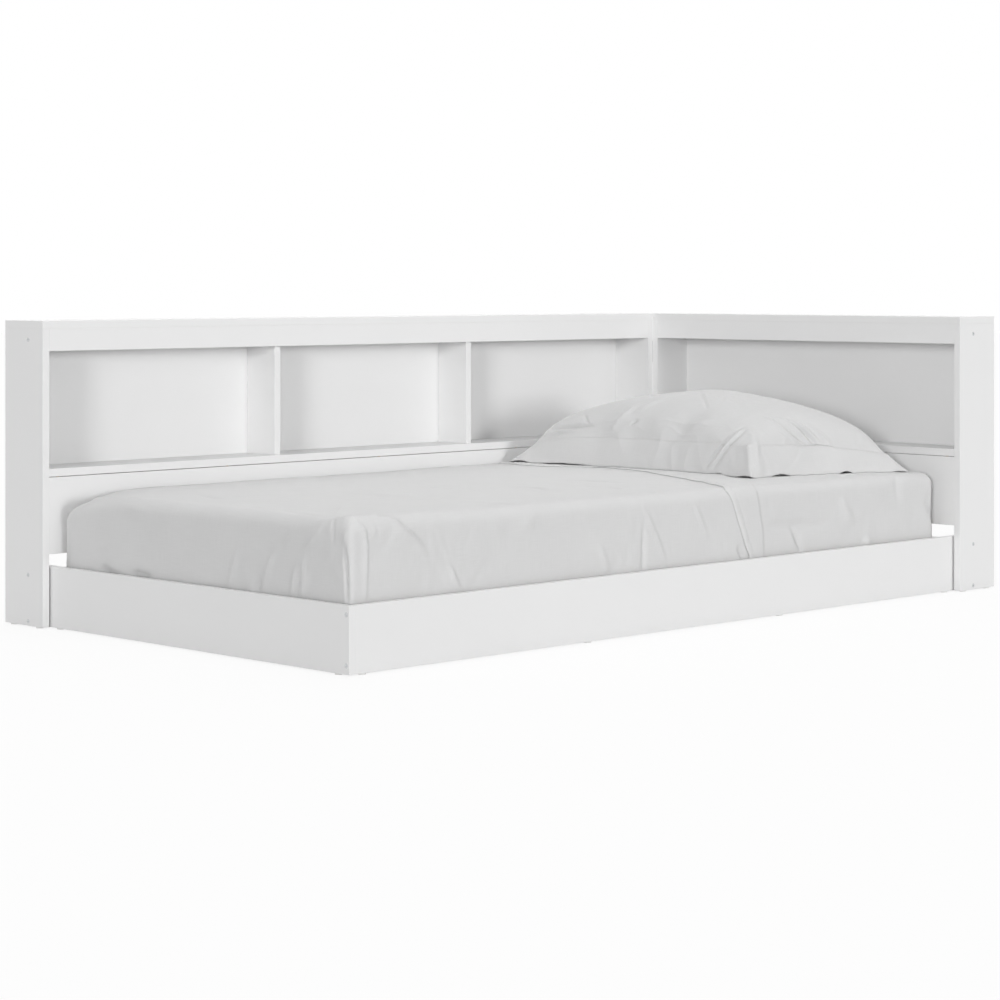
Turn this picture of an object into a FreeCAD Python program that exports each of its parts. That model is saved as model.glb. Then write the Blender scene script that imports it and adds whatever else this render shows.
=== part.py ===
"""Corner bed with two bookcase units: a long one beside the bed and a short one as its headboard.

Millimetres, +Z up.  +X points to the head end and +Y to the wall beside the bed.  The origin is
the centre of the whole bed's footprint, on the floor.
"""
import FreeCAD, Part
import math
import os
from FreeCAD import Placement, Rotation, Vector

# ---------------------------------------------------------------- bookcase units
unit_height = 700.0          # floor to the top of the cap panels
unit_depth = 150.0           # front edge to rear edge of both units
side_unit_length = 2065.0    # long unit, outer foot end to the inner corner
head_unit_length = 1049.0    # short unit, inner corner to its outer near end
board = 18.0                 # laminated board
back_thickness = 15.0
back_inset = 10.0            # rear edge to the back panel, room for a skirting board
edge_break = 0.6             # rounding of every board edge
header_height = 51.0         # rail under the cap panel
shelf_top = 363.0            # floor to the shelf surface
apron_clearance = 28.0       # platform rails to the front panel below the shelf
apron_joint = 1.5            # shadow gap between the shelf and that panel
middle_cubby_width = 636.0   # clear width between the two dividers
hidden_rail_line = 58.0      # front edge to the middle of the stretcher and of the lower rail
lower_rail_height = 126.0    # a little less than the platform rails that butt against it
notch_clearance = 0.5        # around the stretcher in the dividers

# ---------------------------------------------------------------- platform
rail_height = 138.0
foot_rail_gap = 5.0          # foot rail to the inner face of the foot end panel
side_rail_gap = 6.0          # side rail to the inner face of the near end panel
slat_count = 13
slat_width = 90.0
slat_thickness = 16.0
slat_end_gap = 2.0           # slat end to rail
first_slat_gap = 14.0        # foot rail to the first slat
last_slat_gap = 32.0         # last slat to the front of the headboard unit
ledger_thickness = 20.0
ledger_height = 30.0
ledger_end_gap = 2.0         # ledger end to the piece it runs up to
mattress_sink = 33.0         # rail top to the underside of the mattress

# ---------------------------------------------------------------- bedding
mattress_height = 197.0
mattress_head_gap = 35.0     # mattress to the headboard unit
mattress_foot_gap = 15.0     # mattress to the foot rail
mattress_wall_gap = 15.0     # mattress to the side unit
mattress_near_gap = 16.0     # mattress to the side rail
mattress_corner = 45.0       # rounding of the upright corners
mattress_edge = 42.0         # rounding of the upper edges, less than the upright ones
rim_limit = 0.95             # largest share of the upright rounding that the upper edges can take
sheet_thickness = 1.5
sheet_lift = 2.0             # lower edge of the sheets above the slats
top_sheet_far_gap = 330.0    # headboard unit to the top sheet's edge, on the side unit's side
top_sheet_near_gap = 720.0   # the same, on the open side
pillow_length = 700.0        # across the bed, seam to seam
pillow_width = 412.0         # along the bed, seam to seam
pillow_corner = 90.0
pillow_seam_height = 78.0    # seam above the sheet
pillow_crown = 120.0         # top of the pillow above its seam
pillow_level_steps = 6       # sections between the seam and each pole
pillow_pole_angle = 80.0     # degrees from the seam to the last section
pillow_roundness = 0.6       # exponent of the section outline, lower is boxier
pillow_head_gap = 345.0      # headboard unit to the middle of the pillow
pillow_off_middle = 20.0     # middle of the mattress to the middle of the pillow, to the wall side
sham_skin = 2.0
sham_flange_run = 44.0       # how far the flange spreads out on its way down to the sheet
soft_gap = 0.3               # air between soft pieces of different bodies

# ---------------------------------------------------------------- fasteners and feet
cut_margin = 1.0             # cutters run this far past the faces that they open
hole_clearance = 0.1         # on the radius of every hole
screw_head_radius = 5.0
screw_head_depth = 3.0
screw_shank_radius = 3.0
screw_length = 50.0
screw_socket = 4.0           # across the flats of the hexagon socket
screw_socket_depth = 2.0
lower_screw_inset = 10.0     # screw to the upper or lower edge of a lower rail
corner_screw_inset = 18.0    # the same for the platform rails, at the open corner
butt_screw_inset = 45.0      # the same, where the platform rails butt against the lower rails
small_head_radius = 3.5
small_head_depth = 2.0
small_shank_radius = 1.75
ledger_screw_length = 32.0
ledger_screw_pitch = 420.0
slat_screw_length = 34.0
shelf_screw_length = 45.0
shelf_screw_pitch = 460.0
divider_screw_inset = 22.0   # shelf screw to the front and rear edge of a divider
cam_radius = 7.5
cam_depth = 12.5
cam_setback = 34.0           # cam centre to the end of its board
cam_slot = 1.6
cam_inset = 30.0             # cam line to the edge of its board
pin_radius = 3.0
pin_anchor = 11.0            # pin's threaded length in the end panel
dowel_radius = 4.0
dowel_face_depth = 11.0      # dowel in the face of a board
dowel_edge_depth = 18.0      # dowel in the edge of a board
dowel_inset = 28.0           # dowel to the edge of a board
dowel_pitch = 440.0
glide_radius = 8.0
glide_height = 3.0
glide_nail_radius = 1.0
glide_nail_length = 14.0
glide_inset = 24.0           # glide to the end of its board
lower_rail_glide_inset = 56.0    # the same for the lower rails, clear of the screws in their ends
glide_pitch = 640.0
bracket_leg = 40.0
bracket_steel = 2.0
bracket_height = 60.0
bracket_inset = 90.0         # bracket's middle to the top of the end panels, and above the floor
bracket_screw_length = 15.0
bracket_screw_reach = 24.0   # corner of a bracket to its screws
bracket_screw_spacing = 30.0

# ---------------------------------------------------------------- places worked out from the sizes
head_front = (side_unit_length - unit_depth) / 2     # front plane of the headboard unit
side_front = (head_unit_length - unit_depth) / 2     # front plane of the side unit
foot_end = head_front - side_unit_length             # outer face of the foot end panel
near_end = side_front - head_unit_length             # outer face of the near end panel
under_cap = unit_height - board
header_bottom = under_cap - header_height
lower_rail_top = glide_height + lower_rail_height
rail_top = glide_height + rail_height
apron_underside = rail_top + apron_clearance
apron_top = shelf_top - board - apron_joint
header_middle = (header_bottom + under_cap) / 2
back_front = unit_depth - back_inset - back_thickness
rail_reach = hidden_rail_line - board / 2            # platform rails run this far into the units
foot_rail_outer = foot_end + board + foot_rail_gap
foot_rail_inner = foot_rail_outer + board
side_rail_outer = near_end + board + side_rail_gap
side_rail_inner = side_rail_outer + board
slat_top = rail_top - mattress_sink
ledger_top = slat_top - slat_thickness
sheet_top = slat_top + mattress_height + 2 * sheet_thickness
mattress_ends = (foot_rail_inner + mattress_foot_gap, head_front - mattress_head_gap)
mattress_sides = (side_rail_inner + mattress_near_gap, side_front - mattress_wall_gap)


class Bed:
    """Collects the pieces of the bed, and the holes that its fasteners need."""

    def __init__(self):
        self.pieces = {}
        self.holes = []

    def add(self, node, shape):
        self.pieces.setdefault(node, []).append(shape)

    def fasten(self, node, shape, hole):
        self.add(node, shape)
        self.holes.append(hole)

    def drill(self, nodes):
        """Cut each board by the holes that reach it."""
        for node in nodes:
            blank = self.pieces[node][0]
            cutters = [hole for hole in self.holes if blank.BoundBox.intersect(hole.BoundBox)]
            if cutters:
                self.pieces[node] = blank.cut(cutters).Solids

    def export(self):
        os.makedirs("parts", exist_ok=True)
        for node, shapes in self.pieces.items():
            shape = shapes[0] if len(shapes) == 1 else Part.makeCompound(shapes)
            shape.exportStep("parts/" + node + ".step")


# ---------------------------------------------------------------- basic shapes
def box(low, high):
    return Part.makeBox(high[0] - low[0], high[1] - low[1], high[2] - low[2], Vector(*low))


def rounded_board(low, high):
    blank = box(low, high)
    return blank.makeFillet(edge_break, blank.Edges)


def cylinder(radius, length, start, direction):
    return Part.makeCylinder(radius, length, start, direction)


def evenly(low, high, pitch):
    """Places from low to high at about the given pitch, both ends included."""
    steps = max(1, round((high - low) / pitch))
    return [low + (high - low) * step / steps for step in range(steps + 1)]


def rounded_outline(half_x, half_y, corner, z):
    """Closed wire of a rectangle with round corners about the Z axis."""
    edges = []
    centres = [(half_x - corner, half_y - corner), (corner - half_x, half_y - corner),
               (corner - half_x, corner - half_y), (half_x - corner, corner - half_y)]
    ends = []
    for quarter, (x, y) in enumerate(centres):
        points = []
        for part in (0, 0.5, 1):
            angle = math.pi / 2 * (quarter + part)
            points.append(Vector(x + corner * math.cos(angle), y + corner * math.sin(angle), z))
        ends.append((points[0], points[2]))
        edges.append(Part.Arc(*points).toShape())
        if quarter:
            edges.append(Part.LineSegment(ends[quarter - 1][1], points[0]).toShape())
    edges.append(Part.LineSegment(ends[3][1], ends[0][0]).toShape())
    return Part.Wire(Part.__sortEdges__(edges))


# ---------------------------------------------------------------- fasteners
def screw_with_hole(head_radius, head_depth, shank_radius, length, start, direction):
    """A screw whose head lies flush at start, and the hole it needs."""
    seat = start + direction * head_depth
    shank = length - head_depth
    screw = cylinder(head_radius, head_depth, start, direction)
    screw = screw.fuse(cylinder(shank_radius, shank, seat, direction))
    hole = cylinder(head_radius + hole_clearance, 2 * head_depth, start - direction * head_depth, direction)
    hole = hole.fuse(cylinder(shank_radius + hole_clearance, shank + hole_clearance, seat, direction))
    return screw, hole


def hexagon_socket(start, direction):
    corner = screw_socket / math.sqrt(3)
    points = []
    for side in range(7):
        angle = math.pi / 3 * side
        points.append(Vector(corner * math.cos(angle), corner * math.sin(angle), 0))
    prism = Part.Face(Part.makePolygon(points)).extrude(Vector(0, 0, screw_socket_depth))
    prism.Placement = Placement(start, Rotation(Vector(0, 0, 1), direction))
    return prism


def add_panel_screw(bed, start, direction):
    screw, hole = screw_with_hole(screw_head_radius, screw_head_depth, screw_shank_radius,
                                  screw_length, start, direction)
    bed.fasten("panel_screws", screw.cut(hexagon_socket(start, direction)), hole)


def add_small_screw(bed, node, length, start, direction):
    bed.fasten(node, *screw_with_hole(small_head_radius, small_head_depth, small_shank_radius,
                                      length, start, direction))


def add_dowel(bed, joint, direction):
    """A dowel from the face of one board (against direction) into the edge of the next."""
    start = joint - direction * dowel_face_depth
    length = dowel_face_depth + dowel_edge_depth
    hole = cylinder(dowel_radius + hole_clearance, length + hole_clearance, start, direction)
    bed.fasten("dowels", cylinder(dowel_radius, length, start, direction), hole)


def add_cam_joint(bed, joint, along, face):
    """A cam lock in a board and its pin in the end panel.

    joint lies on the end of the board, along points into the board, and face is the vector from
    the board's middle plane to the face that the cam is turned from.
    """
    outward = Vector(face).normalize()
    centre = joint + along * cam_setback + face
    slot_half = cam_radius - cam_slot
    cam = cylinder(cam_radius, cam_depth, centre, outward * -1)
    for turned in (0, 90):
        slot = Part.makeBox(2 * slot_half, cam_slot, cam_slot, Vector(-slot_half, -cam_slot / 2, 0))
        slot.rotate(Vector(0, 0, 0), Vector(0, 0, 1), turned)
        slot.Placement = Placement(centre, Rotation(Vector(0, 0, 1), outward * -1)).multiply(slot.Placement)
        cam = cam.cut(slot)
    pocket = cylinder(cam_radius + hole_clearance, cam_depth + hole_clearance + cut_margin,
                      centre + outward * cut_margin, outward * -1)
    bed.fasten("cam_locks", cam, pocket)
    start = joint - along * pin_anchor
    reach = pin_anchor + cam_setback - cam_radius - hole_clearance
    hole = cylinder(pin_radius + hole_clearance, reach + cam_radius, start, along)
    bed.fasten("cam_pins", cylinder(pin_radius, reach, start, along), hole)


def add_glide(bed, x, y):
    up = Vector(0, 0, 1)
    foot = cylinder(glide_radius, glide_height, Vector(x, y, 0), up)
    nail = cylinder(glide_nail_radius, glide_nail_length, Vector(x, y, glide_height), up)
    hole = cylinder(glide_nail_radius + hole_clearance, glide_nail_length + hole_clearance,
                    Vector(x, y, glide_height), up)
    bed.fasten("glides", foot.fuse(nail), hole)


# ---------------------------------------------------------------- bookcase units
def unit_boards(length):
    """The boards that both units have, along X from the origin, with the front edge on Y = 0."""
    inner = (board, length - board)
    line = (hidden_rail_line - board / 2, hidden_rail_line + board / 2)
    return {
        "top_panel": rounded_board((0, 0, under_cap), (length, unit_depth, unit_height)),
        "first_end_panel": rounded_board((0, 0, glide_height), (board, unit_depth, under_cap)),
        "last_end_panel": rounded_board((inner[1], 0, glide_height), (length, unit_depth, under_cap)),
        "header": rounded_board((inner[0], 0, header_bottom), (inner[1], board, under_cap)),
        "stretcher": rounded_board((inner[0], line[0], header_bottom), (inner[1], line[1], under_cap)),
        "shelf": rounded_board((inner[0], 0, shelf_top - board), (inner[1], unit_depth, shelf_top)),
        "apron": rounded_board((inner[0], 0, apron_underside), (inner[1], board, apron_top)),
        "back_panel": rounded_board((inner[0], back_front, shelf_top),
                                    (inner[1], back_front + back_thickness, under_cap)),
        "lower_rail": rounded_board((inner[0], line[0], glide_height), (inner[1], line[1], lower_rail_top)),
    }


def divider(x):
    """An upright between two cubbies, behind the header, notched around the stretcher."""
    upright = rounded_board((x, board, shelf_top), (x + board, back_front, under_cap))
    half_notch = board / 2 + notch_clearance
    low = (x - cut_margin, hidden_rail_line - half_notch, header_bottom - notch_clearance)
    high = (x + board + cut_margin, hidden_rail_line + half_notch, under_cap + cut_margin)
    return upright.cut(box(low, high))


def unit_fasteners(length, dividers):
    """Screws, cams and dowels of one unit, in the unit's own frame."""
    kit = Bed()
    up = Vector(0, 0, 1)
    for end, along in ((0, Vector(1, 0, 0)), (length, Vector(-1, 0, 0))):
        joint = end + along.x * board
        for z in (glide_height + lower_screw_inset, lower_rail_top - lower_screw_inset, header_middle):
            add_panel_screw(kit, Vector(end, hidden_rail_line, z), along)
        add_cam_joint(kit, Vector(joint, board / 2, header_middle), along, Vector(0, board / 2, 0))
        for z in (apron_underside + cam_inset, apron_top - cam_inset):
            add_cam_joint(kit, Vector(joint, board / 2, z), along, Vector(0, board / 2, 0))
        for y in (cam_inset, unit_depth - cam_inset):
            add_cam_joint(kit, Vector(joint, y, shelf_top - board / 2), along, Vector(0, 0, -board / 2))
        for y in (dowel_inset, unit_depth - dowel_inset):
            add_dowel(kit, Vector(end + along.x * board / 2, y, under_cap), up * -1)
        for z in (shelf_top + dowel_inset, under_cap - dowel_inset):
            add_dowel(kit, Vector(joint, back_front + back_thickness / 2, z), along)
    for x in evenly(board + dowel_inset, length - board - dowel_inset, dowel_pitch):
        add_dowel(kit, Vector(x, board / 2, under_cap), up * -1)
        add_dowel(kit, Vector(x, board / 2, shelf_top - board), up * -1)
    for x in evenly(board + dowel_inset, length - board - dowel_inset, shelf_screw_pitch):
        add_small_screw(kit, "shelf_screws", shelf_screw_length,
                        Vector(x, back_front + back_thickness / 2, shelf_top - board), up)
    for x in dividers:
        add_dowel(kit, Vector(x + board / 2, board, header_middle), Vector(0, 1, 0))
        for y in (board + divider_screw_inset, back_front - divider_screw_inset):
            add_small_screw(kit, "shelf_screws", shelf_screw_length,
                            Vector(x + board / 2, y, shelf_top - board), up)
    return kit


def unit_glides(length):
    """Glide places of one unit, in the unit's own frame."""
    places = []
    for x in (board / 2, length - board / 2):
        for y in (glide_inset, unit_depth - glide_inset):
            places.append((x, y))
    for x in evenly(board + lower_rail_glide_inset, length - board - lower_rail_glide_inset, glide_pitch):
        places.append((x, hidden_rail_line))
    return places


def add_unit(bed, name, length, ends, dividers, placement):
    """Put one unit in its place; ends names its first and last end panel."""
    names = {"first_end_panel": ends[0], "last_end_panel": ends[1], "stretcher": "top_stretcher"}
    boards = {name + "_" + names.get(key, key): shape for key, shape in unit_boards(length).items()}
    for number, x in enumerate(dividers, 1):
        boards[name + "_divider_" + str(number)] = divider(x)
    for node, shape in boards.items():
        shape.Placement = placement.multiply(shape.Placement)
        bed.add(node, shape)
    kit = unit_fasteners(length, dividers)
    for x, y in unit_glides(length):
        add_glide(kit, x, y)
    for node, shapes in kit.pieces.items():
        for shape in shapes:
            shape.Placement = placement.multiply(shape.Placement)
            bed.add(node, shape)
    for hole in kit.holes:
        hole.Placement = placement.multiply(hole.Placement)
        bed.holes.append(hole)
    return list(boards)


def add_side_unit(bed):
    middle = side_unit_length / 2
    dividers = (middle - middle_cubby_width / 2 - board, middle + middle_cubby_width / 2)
    placement = Placement(Vector(foot_end, side_front, 0), Rotation())
    return add_unit(bed, "side", side_unit_length, ("foot_end_panel", "corner_end_panel"),
                    dividers, placement)


def add_head_unit(bed):
    placement = Placement(Vector(head_front, side_front, 0), Rotation(Vector(0, 0, 1), -90))
    return add_unit(bed, "head", head_unit_length, ("corner_end_panel", "near_end_panel"),
                    (), placement)


def add_notch_brackets(bed):
    """Steel angles behind the inner corner, which join the end panels of the two units."""
    corner = Vector(head_front, side_front, 0)
    for middle in (bracket_inset, under_cap - bracket_inset):
        low = middle - bracket_height / 2
        high = low + bracket_height
        outer = box((0, 0, low), (bracket_leg, bracket_leg, high))
        past_leg = bracket_leg + cut_margin
        inner = box((bracket_steel, bracket_steel, low - cut_margin), (past_leg, past_leg, high + cut_margin))
        angle = outer.cut(inner)
        angle.translate(corner)
        bed.add("notch_bracket_" + ("lower" if middle == bracket_inset else "upper"), angle)
        for z in (middle - bracket_screw_spacing / 2, middle + bracket_screw_spacing / 2):
            add_small_screw(bed, "bracket_screws", bracket_screw_length,
                            corner + Vector(bracket_steel, bracket_screw_reach, z), Vector(-1, 0, 0))
            add_small_screw(bed, "bracket_screws", bracket_screw_length,
                            corner + Vector(bracket_screw_reach, bracket_steel, z), Vector(0, -1, 0))


# ---------------------------------------------------------------- platform
def add_rails(bed):
    """The foot rail laps the end of the side rail; both butt against the units' lower rails."""
    foot_reach = side_front + rail_reach
    side_reach = head_front + rail_reach
    bed.add("foot_rail", rounded_board((foot_rail_outer, side_rail_outer, glide_height),
                                       (foot_rail_inner, foot_reach, rail_top)))
    bed.add("near_side_rail", rounded_board((foot_rail_inner, side_rail_outer, glide_height),
                                            (side_reach, side_rail_inner, rail_top)))
    foot_middle = (foot_rail_outer + foot_rail_inner) / 2
    side_middle = (side_rail_outer + side_rail_inner) / 2
    for z in (glide_height + corner_screw_inset, rail_top - corner_screw_inset):
        add_panel_screw(bed, Vector(foot_rail_outer, side_middle, z), Vector(1, 0, 0))
    for z in (glide_height + butt_screw_inset, rail_top - butt_screw_inset):
        add_panel_screw(bed, Vector(foot_middle, foot_reach + board, z), Vector(0, -1, 0))
        add_panel_screw(bed, Vector(side_reach + board, side_middle, z), Vector(-1, 0, 0))
    for y in evenly(side_rail_inner + glide_inset, side_front - glide_inset, glide_pitch):
        add_glide(bed, foot_middle, y)
    for x in evenly(foot_rail_inner + glide_inset, head_front - glide_inset, glide_pitch):
        add_glide(bed, x, side_middle)
    return ["foot_rail", "near_side_rail"]


def add_ledgers(bed):
    """Battens on the inner faces of the side rail and of the side unit's lower rail."""
    wall_face = side_front + rail_reach
    far_end = head_front - board - ledger_end_gap
    spans = {"near_slat_ledger": (side_rail_inner, 1), "wall_slat_ledger": (wall_face, -1)}
    for node, (face, inward) in spans.items():
        low_y = min(face, face + inward * ledger_thickness)
        start = foot_rail_inner + ledger_end_gap
        bed.add(node, rounded_board((start, low_y, ledger_top - ledger_height),
                                    (far_end, low_y + ledger_thickness, ledger_top)))
        for x in evenly(start + dowel_inset, far_end - dowel_inset, ledger_screw_pitch):
            add_small_screw(bed, "ledger_screws", ledger_screw_length,
                            Vector(x, face + inward * ledger_thickness, ledger_top - ledger_height / 2),
                            Vector(0, -inward, 0))
    return list(spans)


def add_slats(bed):
    """Cross slats, each screwed down on both ledgers."""
    low_y = side_rail_inner + slat_end_gap
    high_y = side_front + rail_reach - slat_end_gap
    first = foot_rail_inner + first_slat_gap
    pitch = (head_front - last_slat_gap - slat_width - first) / (slat_count - 1)
    nodes = []
    for number in range(slat_count):
        x = first + number * pitch
        node = "slat_%02d" % (number + 1)
        nodes.append(node)
        bed.add(node, rounded_board((x, low_y, ledger_top), (x + slat_width, high_y, slat_top)))
        for y in (side_rail_inner + ledger_thickness / 2,
                  side_front + rail_reach - ledger_thickness / 2):
            add_small_screw(bed, "slat_screws", slat_screw_length,
                            Vector(x + slat_width / 2, y, slat_top), Vector(0, 0, -1))
    return nodes


# ---------------------------------------------------------------- bedding
def padded_block(grow):
    """The mattress's outer shape, grown on its sides and top, standing on the slats."""
    low = (mattress_ends[0] - grow, mattress_sides[0] - grow, slat_top)
    high = (mattress_ends[1] + grow, mattress_sides[1] + grow, slat_top + mattress_height + grow)
    block = box(low, high)
    upright = [edge for edge in block.Edges if edge.BoundBox.ZLength > mattress_height / 2]
    block = block.makeFillet(mattress_corner + grow, upright)
    rim = [edge for edge in block.Edges if edge.BoundBox.ZMin > high[2] - mattress_corner / 2]
    return block.makeFillet(min(mattress_edge, rim_limit * mattress_corner) + grow, rim)


def sheet_layer(inner):
    """One sheet drawn over everything inside the given growth, open below."""
    skin = padded_block(inner + sheet_thickness).cut(padded_block(inner))
    bounds = skin.BoundBox
    low = (bounds.XMin - cut_margin, bounds.YMin - cut_margin, slat_top - cut_margin)
    high = (bounds.XMax + cut_margin, bounds.YMax + cut_margin, slat_top + sheet_lift)
    return skin.cut(box(low, high))


def top_sheet():
    """The upper sheet, which ends on a slanting line short of the pillow."""
    layer = sheet_layer(sheet_thickness)
    near = layer.BoundBox.YMin - cut_margin
    wall = layer.BoundBox.YMax + cut_margin
    corners = ((head_front - top_sheet_near_gap, near), (head_front, near),
               (head_front, wall), (head_front - top_sheet_far_gap, wall))
    points = [Vector(x, y, slat_top) for x, y in corners]
    height = Vector(0, 0, sheet_top - slat_top + cut_margin)
    return layer.cut(Part.Face(Part.makePolygon(points + points[:1])).extrude(height))


def pillow_form(grow):
    """The stuffed part of the pillow about the Z axis, seam at Z = 0, grown by a skin."""
    outlines = []
    for step in range(-pillow_level_steps, pillow_level_steps + 1):
        angle = math.radians(pillow_pole_angle) * step / pillow_level_steps
        share = math.cos(angle) ** pillow_roundness
        depth = pillow_crown if step > 0 else pillow_seam_height - soft_gap - sham_skin
        z = (depth + grow) * math.sin(angle) / math.sin(math.radians(pillow_pole_angle))
        outlines.append(rounded_outline((pillow_width / 2 + grow) * share,
                                        (pillow_length / 2 + grow) * share,
                                        (pillow_corner + grow) * share, z))
    return Part.makeLoft(outlines, True, True)


def sham_flange():
    """The flat border of the sham, hanging from the seam down to the sheet."""
    drop = soft_gap - pillow_seam_height

    def spread(inset):
        upper = rounded_outline(pillow_width / 2 + sham_skin - inset, pillow_length / 2 + sham_skin - inset,
                                pillow_corner + sham_skin - inset, 0)
        run = sham_flange_run + sham_skin - inset
        lower = rounded_outline(pillow_width / 2 + run, pillow_length / 2 + run, pillow_corner + run, drop)
        return Part.makeLoft([lower, upper], True)

    return spread(0).cut(spread(sham_skin))


def add_bedding(bed):
    bed.add("mattress", padded_block(0))
    bed.add("fitted_sheet", sheet_layer(0))
    bed.add("top_sheet", top_sheet())
    insert = pillow_form(0)
    sham = pillow_form(sham_skin).fuse(sham_flange()).cut(insert)
    middle = Vector(head_front - pillow_head_gap, sum(mattress_sides) / 2 + pillow_off_middle,
                    sheet_top + pillow_seam_height)
    for node, shape in (("pillow_insert", insert), ("pillow_sham", sham)):
        shape.translate(middle)
        bed.add(node, shape)


def main():
    bed = Bed()
    boards = add_side_unit(bed) + add_head_unit(bed)
    boards += add_rails(bed) + add_ledgers(bed) + add_slats(bed)
    add_notch_brackets(bed)
    bed.drill(boards + ["notch_bracket_lower", "notch_bracket_upper"])
    add_bedding(bed)
    bed.export()


main()
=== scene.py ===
"""Looks of the corner bed: laminate, timber and metal finishes, and modelled bedding."""

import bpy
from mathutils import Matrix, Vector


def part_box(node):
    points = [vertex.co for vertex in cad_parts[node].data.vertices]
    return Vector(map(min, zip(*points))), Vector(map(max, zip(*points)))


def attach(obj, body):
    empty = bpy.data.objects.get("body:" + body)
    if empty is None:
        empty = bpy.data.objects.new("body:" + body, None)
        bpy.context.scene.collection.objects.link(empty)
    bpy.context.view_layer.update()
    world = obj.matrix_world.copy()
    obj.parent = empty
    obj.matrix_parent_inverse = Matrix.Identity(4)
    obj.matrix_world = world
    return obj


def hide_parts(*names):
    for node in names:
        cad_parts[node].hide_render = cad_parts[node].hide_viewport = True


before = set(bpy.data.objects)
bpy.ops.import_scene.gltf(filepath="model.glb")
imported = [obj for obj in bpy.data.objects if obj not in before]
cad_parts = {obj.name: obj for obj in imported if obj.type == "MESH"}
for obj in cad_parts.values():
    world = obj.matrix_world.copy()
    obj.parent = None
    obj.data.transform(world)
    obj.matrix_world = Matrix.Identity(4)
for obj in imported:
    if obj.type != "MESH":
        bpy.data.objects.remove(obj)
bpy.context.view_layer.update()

import logging
import math
from dataclasses import dataclass, field, replace
from enum import Enum
from typing import Any, Mapping, Sequence, Union

import bpy
import numpy as np
from mathutils import Vector, noise
from mathutils.bvhtree import BVHTree

LOG = logging.getLogger("bed")

Point = tuple[float, float, float]
Pixel = tuple[float, float]
Colour = tuple[float, float, float]

WHITE = (1.0, 1.0, 1.0)


# ---------------------------------------------------------------- shader maths
class Socket:
    """An output in a node tree. Arithmetic on it adds Math nodes."""

    def __init__(self, nodes: "Nodes", output: bpy.types.NodeSocket) -> None:
        """Keeps the output and the tree that it belongs to."""
        self.nodes = nodes
        self.output = output

    def math(self, operation: str, *values: "Value") -> "Socket":
        """Adds a Math node with these inputs, in order, and returns its output."""
        return self.nodes.add("ShaderNodeMath", {"operation": operation}, dict(enumerate(values)))

    def __add__(self, other: "Value") -> "Socket":
        """Adds."""
        return self.math("ADD", self, other)

    def __radd__(self, other: "Value") -> "Socket":
        """Adds, with the number first."""
        return self.math("ADD", other, self)

    def __sub__(self, other: "Value") -> "Socket":
        """Subtracts."""
        return self.math("SUBTRACT", self, other)

    def __rsub__(self, other: "Value") -> "Socket":
        """Subtracts from a number."""
        return self.math("SUBTRACT", other, self)

    def __mul__(self, other: "Value") -> "Socket":
        """Multiplies."""
        return self.math("MULTIPLY", self, other)

    def __pow__(self, other: "Value") -> "Socket":
        """Raises to a power."""
        return self.math("POWER", self, other)

    def sine(self) -> "Socket":
        """Returns the sine."""
        return self.math("SINE", self)

    def clamp(self) -> "Socket":
        """Returns the value kept from 0 to 1."""
        return self.math("MINIMUM", self.math("MAXIMUM", self, 0.0), 1.0)

    def around(self, middle: float, spread: float) -> "Socket":
        """Turns a noise about 0.5 into a number that varies about a middle by a spread."""
        return (self - 0.5) * (2.0 * spread) + middle

    def bump(self, depth: float, strength: float) -> "Socket":
        """Returns the normal of a relief from 0 to 1, so many metres deep."""
        sockets = {"Height": self, "Distance": depth, "Strength": strength}
        return self.nodes.add("ShaderNodeBump", None, sockets)


Value = Union[Socket, float]


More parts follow.
